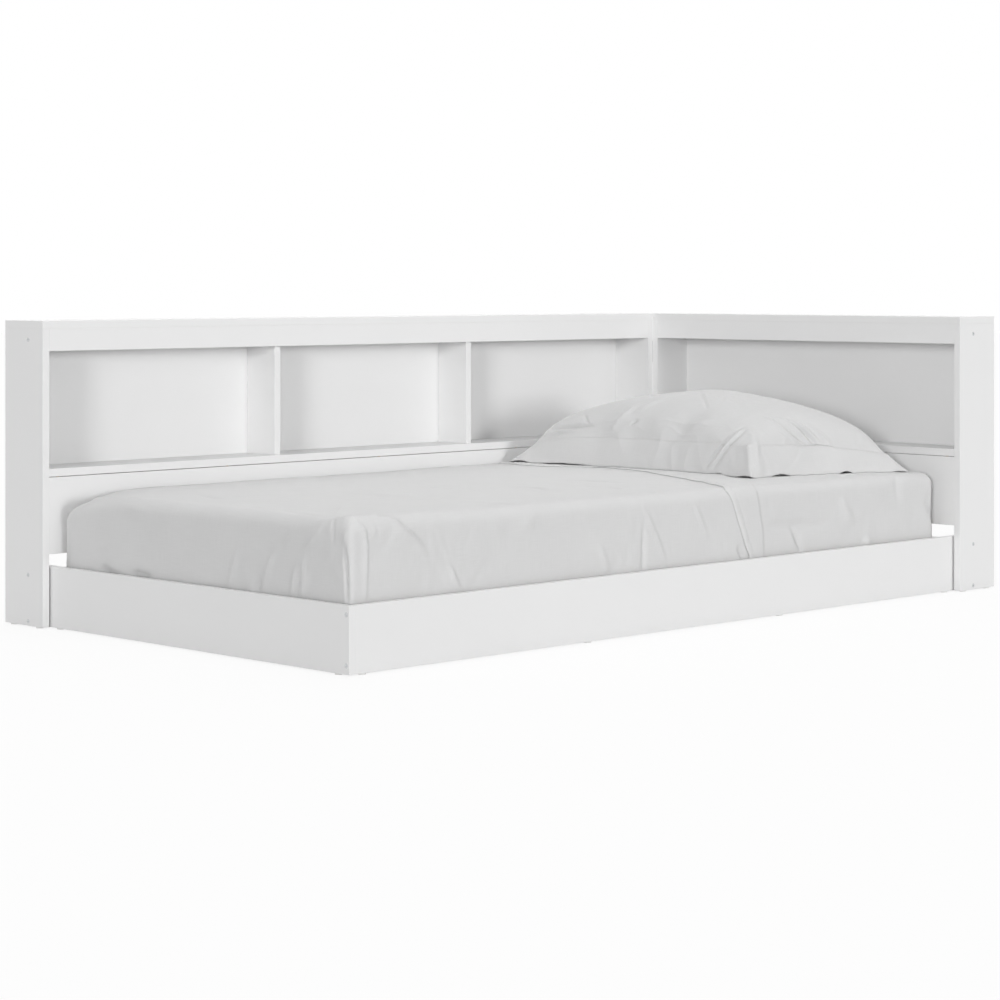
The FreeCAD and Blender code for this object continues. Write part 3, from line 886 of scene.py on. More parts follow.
@dataclass
class Wrap:
    """A sheet wrapped over a mattress form: a grid on top and rows down the sides.

    Attributes:
        points: its corners.
        uv: a flat place for each corner, in metres.
        faces: its quads.
        top: corner numbers of the grid on top, by row along X and column along Y.
        skirt: corner numbers down the sides, by place round the outline and by level.
    """

    points: np.ndarray
    uv: np.ndarray
    faces: list[tuple[int, ...]]
    top: np.ndarray
    skirt: np.ndarray

    @classmethod
    def over(
        cls,
        form: MattressForm,
        along: np.ndarray,
        across: np.ndarray,
        levels: list[tuple[float, float, float]],
        whole: bool,
    ) -> "Wrap":
        """Wraps a sheet over a form.

        Args:
            form: what it lies on.
            along: places along X on the flat top.
            across: places along Y.
            levels: the sides' levels, from the form's profile.
            whole: covers the head end's side too; otherwise the sheet is open there.

        Returns:
            The sheet.
        """
        rows, columns = len(along), len(across)
        grid = np.arange(rows * columns).reshape(rows, columns)
        plan = np.stack(np.meshgrid(along, across, indexing="ij"), axis=-1).reshape(-1, 2)
        top = np.column_stack([plan, np.full(len(plan), form.high[2])])
        around = outline(grid, whole)
        inner = plan[around]
        outer = np.array([form.outer(point) for point in inner])
        outward = outer - inner
        outward /= np.linalg.norm(outward, axis=1, keepdims=True)
        points = [top]
        flat = [plan]
        turns = len(around) - 1 if whole else len(around)
        skirt = np.zeros((len(around), len(levels) + 1), int)
        skirt[:, 0] = around
        for level, (out, height, run) in enumerate(levels, 1):
            place = inner + (outer - inner) * out
            points.append(np.column_stack([place, np.full(len(place), height)])[:turns])
            flat.append((inner + outward * run)[:turns])
            skirt[:turns, level] = rows * columns + (level - 1) * turns + np.arange(turns)
            if whole:
                skirt[-1, level] = skirt[0, level]
        faces = grid_quads(grid) + grid_quads(skirt)
        return cls(form.slumped(np.concatenate(points)), np.concatenate(flat), faces, grid, skirt)

    def normals(self) -> np.ndarray:
        """Returns a unit normal for each corner, pointing outwards."""
        return corner_normals(self.points, self.faces)

    def tree(self) -> BVHTree:
        """Returns the sheet's surface, for lines of sight to meet."""
        return BVHTree.FromPolygons(self.points.tolist(), self.faces)

    def thick(self, name: str, thickness: float | np.ndarray, finish: Finish) -> bpy.types.Object:
        """Makes a closed piece of cloth of which the sheet is the outer face.

        Args:
            name: the piece's name.
            thickness: of the cloth, laid inwards, one for all or one for each corner.
            finish: the cloth's.

        Returns:
            The piece, with its UV map.
        """
        count = len(self.points)
        inner = self.points - self.normals() * np.broadcast_to(thickness, count)[:, None]
        both, uv = np.concatenate([self.points, inner]), np.concatenate([self.uv, self.uv])
        return new_piece(name, both, closed(self.faces, count), uv, finish)


# ---------------------------------------------------------------- folds
class Profile(Enum):
    """How a fold's two sides fall off."""

    EVEN = "the same on both sides"
    LEFT = "steep on the left of its path"
    RIGHT = "steep on the right of its path"


@dataclass(frozen=True)
class Fold:
    """A ridge or a furrow in a sheet, placed by where the photograph shows it.

    Attributes:
        path: pixels along it.
        height: how high it stands, or how deep it lies if negative.
        width: distance over which it falls off.
        profile: which side is steep.
    """

    path: tuple[Pixel, ...]
    height: float
    width: float
    profile: Profile = Profile.EVEN


def smooth_path(points: np.ndarray, pitch: float) -> np.ndarray:
    """Runs a smooth line through two or more points, with its own points about a pitch apart."""
    ends = np.concatenate([[2 * points[0] - points[1]], points, [2 * points[-1] - points[-2]]])
    line = []
    for before, start, end, after in zip(ends, ends[1:], ends[2:], ends[3:]):
        count = max(2, int(np.linalg.norm(end - start) / pitch) + 1)
        for share in np.linspace(0.0, 1.0, count, endpoint=False):
            bend = (2 * before - 5 * start + 4 * end - after) * share**2
            bend = bend + (3 * start - before - 3 * end + after) * share**3
            line.append(start + ((end - before) * share + bend) / 2)
    line.append(points[-1])
    return np.array(line)


@dataclass(frozen=True)
class Waves:
    """The unevenness of a sheet that no single fold makes.

    Attributes:
        swell: height of the long waves.
        rumple: height of the short wrinkles.
        crinkle: height of the finest creases, which come in patches.
        seed: shifts the noise.
        long_pitch: long waves per metre.
        middle_pitch: shorter waves per metre.
        middle_share: height of the shorter waves, as a share of the swell.
        ridge_pitch: wrinkles per metre.
        ridge_bend: how far the waves bend the wrinkles.
        ridge_edge: how narrow the wrinkles' ridges are.
        calm_pitch: changes per metre between calm and wrinkled.
        fine_pitch: the creases' pitch, as a multiple of the wrinkles'.
        fine_edge: how narrow the creases' ridges are.
        busy_pitch: patches of creases per metre.
        busy_share: how much of the sheet has creases, 0 for half.
    """

    swell: float = 0.0028
    rumple: float = 0.0015
    crinkle: float = 0.0011
    seed: float = 3.7
    long_pitch: float = 3.1
    middle_pitch: float = 9.0
    middle_share: float = 0.35
    ridge_pitch: float = 17.0
    ridge_bend: float = 1.4
    ridge_edge: float = 2.6
    calm_pitch: float = 4.3
    fine_pitch: float = 2.3
    fine_edge: float = 3.0
    busy_pitch: float = 5.1
    busy_share: float = 0.15

    def height(self, place: Vector) -> float:
        """Returns the height at a place."""
        shift = Vector((self.seed, self.seed, self.seed))
        long = noise.noise(place * self.long_pitch + shift)
        middle = noise.noise(place * self.middle_pitch + shift * 2.0)
        bent = place * self.ridge_pitch + shift + Vector((middle, long, middle)) * self.ridge_bend
        ridge = 1.0 - abs(noise.noise(bent)) * self.ridge_edge
        calm = 0.5 + 0.5 * noise.noise(place * self.calm_pitch - shift)
        fine = 1.0 - abs(noise.noise(bent * self.fine_pitch + shift)) * self.fine_edge
        busy = max(0.0, noise.noise(place * self.busy_pitch + shift * 3.0) + self.busy_share)
        broad = self.swell * (long + self.middle_share * middle) + self.rumple * ridge * max(0.0, calm)
        return broad + self.crinkle * fine * busy


@dataclass(frozen=True)
class Relief:
    """How far a sheet stands off the form it covers: single folds and waves.

    Attributes:
        camera: turns the folds' pixels into lines of sight.
        target: the undisturbed sheet, which the lines of sight meet.
        folds: the single folds.
        waves: the rest of its unevenness.
        gain: how much higher the folds stand than their list says.
        pitch: distance between the points of a fold's line.
        margin: how far beyond a fold, besides three of its widths, corners are still looked at.
        steep: width of a fold's steep side, as a share of its width.
    """

    camera: PhotoCamera
    target: BVHTree
    folds: Sequence[Fold]
    waves: Waves = Waves()
    gain: float = 2.2
    pitch: float = 0.004
    margin: float = 0.006
    steep: float = 0.3

    def hit(self, pixel: Pixel) -> np.ndarray | None:
        """Returns where a pixel's line of sight meets the sheet."""
        place = self.target.ray_cast(*self.camera.ray(pixel))[0]
        return None if place is None else np.array(place)

    def heights(self, points: np.ndarray, normals: np.ndarray) -> np.ndarray:
        """Returns the height of each undisturbed corner along its normal, in metres."""
        total = np.array([self.waves.height(Vector(point)) for point in points])
        for fold in self.folds:
            total += self.fold_height(fold, points, normals)
        return total

    def fold_height(self, fold: Fold, points: np.ndarray, normals: np.ndarray) -> np.ndarray:
        """Returns the height that one fold adds at each corner."""
        met = [place for place in map(self.hit, fold.path) if place is not None]
        if len(met) < 2:
            return np.zeros(len(points))
        line = smooth_path(np.array(met), self.pitch)
        margin = 3 * fold.width + self.margin
        low = line.min(axis=0) - margin
        high = line.max(axis=0) + margin
        near = np.flatnonzero(np.all((points > low) & (points < high), axis=1))
        result = np.zeros(len(points))
        if not len(near):
            return result
        facing = normals[near]
        gap = points[near][:, None, :] - line[None, :, :]
        gap -= np.einsum("ijk,ik->ij", gap, facing)[..., None] * facing[:, None, :]
        distance = np.linalg.norm(gap, axis=2)
        closest = distance.argmin(axis=1)
        nearest = np.arange(len(near)), closest
        tangent = np.gradient(line, axis=0)[closest]
        side = np.einsum("ij,ij->i", np.cross(tangent, gap[nearest]), facing)
        width = np.full(len(near), fold.width)
        if fold.profile is Profile.LEFT:
            width[side > 0] *= self.steep
        if fold.profile is Profile.RIGHT:
            width[side < 0] *= self.steep
        result[near] = self.gain * fold.height * self.taper(closest / max(1, len(line) - 1))
        result[near] *= np.exp(-((distance[nearest] / width) ** 2))
        return result

    @staticmethod
    def taper(travel: np.ndarray) -> np.ndarray:
        """Returns a fold's height along it, from a small share at its ends to 1 in the middle."""
        return np.sin(np.pi * np.clip(travel * 0.9 + 0.05, 0.0, 1.0)) ** 0.7


FOOT_FOLDS = (
    Fold(((70, 545), (74, 520), (87, 509), (97, 501), (112, 496)), 0.0030, 0.014),
    Fold(((127, 505), (137, 508), (142, 511), (136, 520)), 0.0022, 0.010, Profile.LEFT),
    Fold(((190, 511), (175, 517), (167, 525), (160, 532), (155, 538)), 0.0016, 0.012),
    Fold(((237, 553), (234, 562), (230, 575), (228, 589)), 0.0020, 0.0055),
    Fold(((233, 560), (229, 575), (226, 589)), -0.0014, 0.0055),
    Fold(((295, 527), (285, 541), (275, 553), (270, 563), (265, 582)), 0.0028, 0.0070, Profile.LEFT),
    Fold(((290, 532), (281, 544), (272, 555)), -0.0016, 0.0050),
    Fold(((322, 530), (312, 541), (305, 550)), 0.0028, 0.0070, Profile.LEFT),
    Fold(((305, 556), (303, 570), (303, 597)), 0.0022, 0.0055),
    Fold(((299, 562), (295, 575), (291, 596)), 0.0024, 0.0055),
    Fold(((301, 572), (298, 584), (297, 597)), -0.0020, 0.0050),
    Fold(((104, 566), (108, 572), (116, 575)), -0.0070, 0.0080),
    Fold(((134, 574), (141, 576), (148, 577)), -0.0080, 0.0080),
    Fold(((146, 558), (143, 575)), 0.0022, 0.0070),
    Fold(((115, 562), (114, 573)), 0.0018, 0.0070),
    Fold(((66, 512), (64, 530), (65, 566)), -0.0030, 0.0080),
    Fold(((204, 575), (203, 587)), 0.0022, 0.008),
    Fold(((259, 578), (256, 594)), -0.0035, 0.009),
    Fold(((345.5, 546), (346.5, 562), (348, 606)), -0.0045, 0.0032),
    Fold(((336, 522), (334, 533), (334, 543)), -0.0030, 0.0032),
)
TOP_FOLDS = (
    Fold(((172, 489), (205, 489)), -0.0016, 0.010),
    Fold(((200, 495), (222, 499)), -0.0020, 0.010),
    Fold(((245, 504), (275, 507)), 0.0018, 0.012),
    Fold(((287, 512), (315, 515), (340, 521)), -0.0022, 0.010),
    Fold(((337, 486), (362, 486), (390, 486)), -0.0020, 0.009),
    Fold(((355, 494), (380, 495), (407, 496)), -0.0026, 0.010),
    Fold(((415, 487), (440, 488), (465, 490)), -0.0022, 0.009),
    Fold(((465, 502), (485, 502), (517, 505)), -0.0020, 0.010),
    Fold(((505, 486), (537, 487), (546, 489)), -0.0028, 0.009),
    Fold(((545, 481), (580, 480), (617, 482)), -0.0020, 0.010),
    Fold(((607, 486), (622, 488)), -0.0020, 0.010),
    Fold(
        ((322, 521), (350, 519), (375, 519), (390, 521), (400, 527), (412, 536), (424, 549)),
        0.0052, 0.013, Profile.LEFT,
    ),
    Fold(((347, 507), (341, 511), (335, 516)), 0.0020, 0.010),
)
NEAR_FOLDS = (
    Fold(((343, 521), (361, 527), (366, 543), (366, 596)), 0.0020, 0.009, Profile.LEFT),
    Fold(((450, 566), (455, 579), (462, 591)), 0.0036, 0.009, Profile.LEFT),
    Fold(((647, 492), (662, 496)), 0.0022, 0.010),
    Fold(((643, 507), (649, 522), (655, 536), (665, 564)), 0.0034, 0.0075, Profile.RIGHT),
    Fold(((644, 522), (644, 545), (643, 574)), -0.0028, 0.0060),
    Fold(((600, 548), (608, 567)), 0.0026, 0.008),
    Fold(((693, 502), (699, 518), (707, 535)), 0.0030, 0.008, Profile.RIGHT),
    Fold(((738, 548), (744, 561)), -0.0050, 0.0045),
    Fold(((735, 505), (743, 530), (748, 556)), 0.0010, 0.0050),
    Fold(((522, 521), (535, 527)), 0.0020, 0.012),
    Fold(((490, 522), (502, 533)), 0.0018, 0.012),
)
HEAD_FOLDS = (
    Fold(((770, 526), (797, 525), (825, 524)), -0.0030, 0.010),
    Fold(((792, 530), (797, 541), (802, 553)), -0.0050, 0.010, Profile.RIGHT),
    Fold(((842, 500), (845, 510), (853, 521)), 0.0036, 0.012),
    Fold(((865, 537), (868, 547)), 0.0036, 0.012),
    Fold(((925, 494), (928, 507), (931, 520)), -0.0040, 0.010, Profile.RIGHT),
    Fold(((895, 475), (897, 487), (899, 500)), -0.0024, 0.012),
)
HEM_EDGE_SEEN = (
    (503, 464), (540, 467), (600, 468), (640, 471.7), (687.7, 479.3), (711.6, 484.7),
    (724.6, 490), (731, 499), (735.4, 511.8), (738.7, 524.9), (744, 544), (748.5, 557),
)
HEM_FOLD_SEEN = (
    (560, 463), (600, 464.5), (640, 464.8), (672.5, 466.6), (711.6, 472.8), (737.6, 479.7),
    (750.6, 485.8), (757, 496.7), (759.3, 511.8), (761.5, 524.9), (763, 552),
)


# ---------------------------------------------------------------- bedding
# How far above the mattress the lines that look for the made bed's height start.
ABOVE_BED = 0.1
# Rows of corners from the cuff's fold to its hem, and where they end, in hem widths from the edge.
PLAIN_CUFF_ROWS = 9
PLAIN_CUFF_ENDS = 1.4
# For each row of the hem, its distance from the edge in hem widths, its rise, and its layers.
HEM_ROWS = (
    (1.15, 0.0, 1.0), (1.05, -0.0004, 0.8), (0.95, -0.0001, 1.0), (0.8, 0.0003, 1.4),
    (0.5, 0.0004, 1.5), (0.2, 0.0002, 1.4), (0.05, -0.0002, 1.0), (0.0, -0.0006, 0.6),
)
# The row that the stitches follow, counted from the edge, and the height above the mattress's
# underside below which no stitch is made.
STITCHED_ROW = 7
STITCHES_END = 0.03


@dataclass
class Bedding:
    """Mattress, fitted sheet and top sheet.

    Attributes:
        camera: places the folds.
        form: the mattress's outer form.
        cell: size of the mesh cells.
        fine: size of the cells beside the foot and the near edge.
        coarse: size of the cells by the wall and of those that are covered.
        cloth: thickness of a sheet.
        cover: height of the top sheet's outer face above the mattress.
        turn_lift: height of the turned-back cuff above that.
        flare: how much further the cuff stands off at its lower end.
        hem: width of the hem along the cuff's edge.
        sunk: depth of the fitted sheet where the top sheet covers it.
        mattress_sunk: depth of the mattress's own face under the fitted sheet.
        hem_x: where the fold of the cuff lies along X, by place across the bed.
        hem_line: the line along which the hem is stitched.
        made_bed: the sheets' surfaces.
        cover_gap: height of the fitted sheet's outer face above the mattress.
        tuck: rounding of the fitted sheet's and the mattress's lower edges.
        bare_from: how far before the cuff's fold the fitted sheet starts to rise.
        bare_over: distance over which it does.
        covered_to: how far before the cuff's fold its cells become fine.
    """

    camera: PhotoCamera
    form: MattressForm
    cell: float = 0.007
    fine: float = 0.0025
    coarse: float = 0.020
    cloth: float = 0.0009
    cover: float = 0.003
    turn_lift: float = 0.0015
    flare: float = 0.0012
    hem: float = 0.020
    sunk: float = 0.004
    mattress_sunk: float = 0.010
    cover_gap: float = 0.0005
    tuck: tuple[float, float] = (0.022, 0.025)
    bare_from: float = 0.05
    bare_over: float = 0.04
    covered_to: float = 0.06
    hem_x: tuple[np.ndarray, np.ndarray] = field(init=False)
    hem_line: np.ndarray = field(init=False)
    made_bed: list[BVHTree] = field(init=False)

    def build(self) -> None:
        """Makes the three pieces."""
        covers = [self.build_top_sheet(), self.build_fitted_sheet()]
        self.build_mattress()
        self.made_bed = [surface_tree(cover) for cover in covers]

    def height_at(self, x: float, y: float) -> float:
        """Returns the height of the made bed at a place."""
        above = Vector((x, y, self.form.high[2] + ABOVE_BED))
        met = [tree.ray_cast(above, Vector((0.0, 0.0, -1.0)))[0] for tree in self.made_bed]
        return max((place.z for place in met if place is not None), default=self.form.high[2])

    def cross_place(self, points: np.ndarray) -> np.ndarray:
        """Returns where points lie across the bed: Y on top, further by the depth on the sides."""
        drop = self.form.high[2] - points[:, 2]
        middle = (self.form.low[1] + self.form.high[1]) / 2
        return points[:, 1] + np.sign(points[:, 1] - middle) * drop

    def seen_line(self, relief: Relief, pixels: Sequence[Pixel]) -> tuple[np.ndarray, np.ndarray]:
        """Turns a line across the bed into places along X.

        Args:
            relief: finds the pixels' places on the sheet.
            pixels: the line, where the photograph shows it.

        Returns:
            Places across the bed, rising, and X at each.
        """
        met = np.array([place for place in map(relief.hit, pixels) if place is not None])
        across = self.cross_place(met)
        order = np.argsort(across)
        return across[order], met[order, 0]

    def build_top_sheet(self) -> bpy.types.Object:
        """Makes the top sheet with its turned-back cuff, and returns it."""
        form = self.form.shrunk(-self.cover)
        levels = form.profile(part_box("top_sheet")[0].z, self.cell)
        start, _ = form.inner_span(0)
        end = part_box("top_sheet")[1].x
        cell_sizes_along = (0.04, self.fine), (1.0, self.cell)
        cell_sizes_across = (0.07, self.fine), (0.45, self.cell), (1.0, self.coarse)
        along = graded(start, end, cell_sizes_along)
        across = graded(*form.inner_span(1), cell_sizes_across)
        wrap = Wrap.over(form, along, across, levels, False)
        relief = Relief(self.camera, self.seen_form(form).tree(), FOOT_FOLDS + TOP_FOLDS + NEAR_FOLDS)
        edge = self.seen_line(relief, HEM_EDGE_SEEN)
        self.hem_x = self.seen_line(relief, HEM_FOLD_SEEN)
        self.lean(wrap, start, end)
        thickness = self.turn_back(wrap, edge, relief)
        piece = wrap.thick("top_sheet_linen", thickness, LINEN)
        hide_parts("top_sheet")
        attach(piece, "mattress")
        stitches = Stitching("hem_stitches").build(self.hem_line, THREAD)
        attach(stitches, "mattress")
        return piece

    @staticmethod
    def seen_form(form: MattressForm) -> Wrap:
        """Returns a plain sheet over the whole form, which the lines of sight meet."""
        pitch = 0.01
        along, across = steps(*form.inner_span(0), 2.0 * pitch), steps(*form.inner_span(1), pitch)
        return Wrap.over(form, along, across, form.profile(form.low[2], pitch), True)

    def lean(self, wrap: Wrap, start: float, end: float) -> None:
        """Slides a sheet that runs from start to end along X so that it ends at the cuff's fold."""
        fold_x = np.interp(self.cross_place(wrap.points), *self.hem_x)
        share = np.clip((wrap.points[:, 0] - start) / (end - start), 0.0, 1.0)
        slide = (fold_x - end) * share
        wrap.points[:, 0] += slide
        wrap.uv[:, 0] += slide

    def cuff_rows(self, width: np.ndarray, depth: np.ndarray) -> list[tuple[np.ndarray, np.ndarray, float]]:
        """Shapes the turned-back cuff across its width.

        Args:
            width: from the fold to the cuff's edge, at each place along it.
            depth: how far each place lies below the top of the bed.

        Returns:
            For each row, how far it lies back from the fold, its height, and the cloth's thickness.
        """
        radius = self.turn_lift / 2
        stand = self.flare * np.clip(depth / (self.form.high[2] - self.form.low[2]), 0.0, 1.0) ** 2
        even = np.ones(len(width))
        rows = [
            (even * (-radius * math.cos(turn)), even * (radius * (1.0 + math.sin(turn))), self.cloth)
            for turn in (-math.pi / 4, 0.0, math.pi / 4)
        ]
        bare = width - self.hem * PLAIN_CUFF_ENDS
        for share in np.linspace(0.0, 1.0, PLAIN_CUFF_ROWS):
            back = bare * share
            rows.append((back, self.turn_lift + stand * back / width, self.cloth))
        for share, rise, layers in HEM_ROWS:
            back = width - self.hem * share
            rows.append((back, self.turn_lift + stand * back / width + rise, self.cloth * layers))
        return rows

    def turn_back(self, wrap: Wrap, edge: tuple[np.ndarray, np.ndarray], relief: Relief) -> np.ndarray:
        """Lays the cuff back over the sheet, and raises the folds.

        Args:
            wrap: the sheet, whose last row is the fold of the cuff.
            edge: where the cuff's edge lies.
            relief: the folds.

        Returns:
            The cloth's thickness at each corner.
        """
        path = [*wrap.skirt[0, :0:-1], *wrap.top[-1], *wrap.skirt[-1, 1:]]
        count = len(wrap.points)
        across = len(path)
        line = wrap.points[path]
        normals = wrap.normals()
        heights = relief.heights(wrap.points, normals)
        width = np.maximum(line[:, 0] - np.interp(self.cross_place(line), *edge), self.hem * 2.0)
        rows, flat, thickness = [], [], [np.full(count, self.cloth)]
        for back, rise, cloth in self.cuff_rows(width, self.form.high[2] - line[:, 2]):
            rows.append(line - np.column_stack([back, 0 * back, 0 * back]) + normals[path] * rise[:, None])
            flat.append(wrap.uv[path] + np.column_stack([np.abs(back), 0 * back]))
            thickness.append(np.full(across, cloth))
        cuff = count + np.arange(len(rows) * across).reshape(len(rows), across)
        wrap.faces += grid_quads(np.vstack([path, cuff]))
        hem = np.concatenate(rows)
        hem_normals = np.tile(normals[path], (len(rows), 1))
        hem = hem + hem_normals * relief.heights(hem, hem_normals)[:, None]
        stitched = hem[-STITCHED_ROW * across : (1 - STITCHED_ROW) * across] + normals[path] * self.cloth
        self.hem_line = stitched[stitched[:, 2] > self.form.low[2] + STITCHES_END]
        wrap.points = np.concatenate([wrap.points + normals * heights[:, None], hem])
        wrap.uv = np.concatenate([wrap.uv, *flat])
        return np.concatenate(thickness)

    def build_fitted_sheet(self) -> bpy.types.Object:
        """Makes the fitted sheet, which shows at the head end and curls in below, and returns it."""
        form = self.form.shrunk(-self.cover_gap)
        start, end = form.inner_span(0)
        covered = float(self.hem_x[1].min()) - self.covered_to
        along = np.concatenate([steps(start, covered, self.coarse)[:-1], steps(covered, end, self.cell)])
        levels = form.profile(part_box("fitted_sheet")[0].z, self.cell, self.tuck[0])
        wrap = Wrap.over(form, along, steps(*form.inner_span(1), self.cell), levels, True)
        normals = wrap.normals()
        heights = Relief(self.camera, wrap.tree(), HEAD_FOLDS).heights(wrap.points, normals)
        fold_x = np.interp(self.cross_place(wrap.points), *self.hem_x)
        bare = np.clip((wrap.points[:, 0] - fold_x + self.bare_from) / self.bare_over, 0.0, 1.0)
        heights = heights * bare - self.sunk * (1.0 - bare)
        wrap.points = wrap.points + normals * heights[:, None]
        piece = wrap.thick("fitted_sheet_linen", self.cloth, LINEN)
        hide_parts("fitted_sheet")
        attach(piece, "mattress")
        return piece

    def build_mattress(self) -> None:
        """Makes the mattress under the sheets."""
        form = self.form.shrunk(self.mattress_sunk)
        along = steps(*form.inner_span(0), self.coarse)
        across = steps(*form.inner_span(1), self.coarse)
        levels = form.profile(form.low[2], self.coarse * 0.7, self.tuck[1])
        wrap = Wrap.over(form, along, across, levels, True)
        under = wrap.points[wrap.top.ravel()].copy()
        under[:, 2] = form.low[2]
        grid = wrap.top + len(wrap.points)
        skirt_foot = np.column_stack([wrap.skirt[:, -1], outline(grid, True)])
        faces = wrap.faces + grid_quads(grid, turned=True) + grid_quads(skirt_foot)
        points = np.concatenate([wrap.points, under])
        uv = np.concatenate([wrap.uv, wrap.uv[wrap.top.ravel()]])
        piece = new_piece("mattress_body", points, faces, uv, TICKING)
        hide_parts("mattress")
        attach(piece, "mattress")


PILLOW_FOLDS = (
    Fold(((543, 432), (552, 429.5), (562, 427.5), (575, 426.5), (593, 425.5)), -0.0060, 0.006),
    Fold(((548, 437), (559, 433), (572, 431)), -0.0035, 0.006),
    Fold(((545, 436), (556, 431.5), (570, 429)), 0.0030, 0.006),
    Fold(((582.5, 407), (584.5, 415), (588, 423.7)), -0.0030, 0.0045),
    Fold(((701, 392.5), (704, 400), (707, 408)), -0.0020, 0.0045),
    Fold(((631, 424.5), (634, 422), (638, 420)), -0.0036, 0.0040),
    Fold(((705.5, 468), (715, 455), (722.5, 445.5), (731, 436), (742.5, 428)), -0.0036, 0.0050),
    Fold(((709, 468), (718, 456), (725, 446), (733, 437), (743, 429)), 0.0020, 0.004),
    Fold(((713, 469), (720, 459), (728, 447), (737, 438), (745, 431)), -0.0032, 0.0050),
    Fold(((750, 429), (753.7, 440), (756, 455), (761, 474)), 0.0045, 0.012),
    Fold(((765, 417.5), (782.5, 430), (795, 440)), 0.0045, 0.006),
    Fold(((777.5, 417.5), (795, 428.7), (810, 443.7)), 0.0045, 0.006),
    Fold(((771, 417.5), (788, 429), (803, 442)), -0.0040, 0.005),
    Fold(((790, 420), (806, 430), (820, 444)), 0.0040, 0.006),
    Fold(((784, 419), (800, 429.5), (815, 444)), -0.0040, 0.005),
    Fold(((806, 424), (822, 436), (832, 446)), 0.0035, 0.006),
    Fold(((640, 410), (656, 402), (672, 398)), 0.0030, 0.010),
    Fold(((612, 430), (628, 412), (644, 403)), 0.0030, 0.010),
    Fold(((690, 430), (700, 424), (716, 420)), 0.0030, 0.010),
)
# Where the border's edge stands off the bed: its first and last pixel column, and its height.
HEM_GAPS_SEEN = (
    (508, 530, 0.0045), (536, 592, 0.0032), (708, 742, 0.0012), (736, 756, 0.0048),
    (771, 791, 0.0048), (839, 853, 0.0050), (892, 910, 0.0032),
)
# Signs across and along a panel: foot-wall, foot-near, head-near and head-wall.
PANEL_CORNERS = ((-1, 1), (-1, -1), (1, -1), (1, 1))
# Height above the fitted sheet below which the sham might lie in the bed.
NEAR_BED = 0.02
PILLOW_WAVES = Waves(swell=0.0012, rumple=0.0018, crinkle=0.0014, seed=8.1)
CLOTH_SETTINGS = {
    "quality": 6, "mass": 0.3, "tension_stiffness": 15.0, "compression_stiffness": 15.0,
    "shear_stiffness": 5.0, "bending_stiffness": 0.05, "use_pressure": True,
}


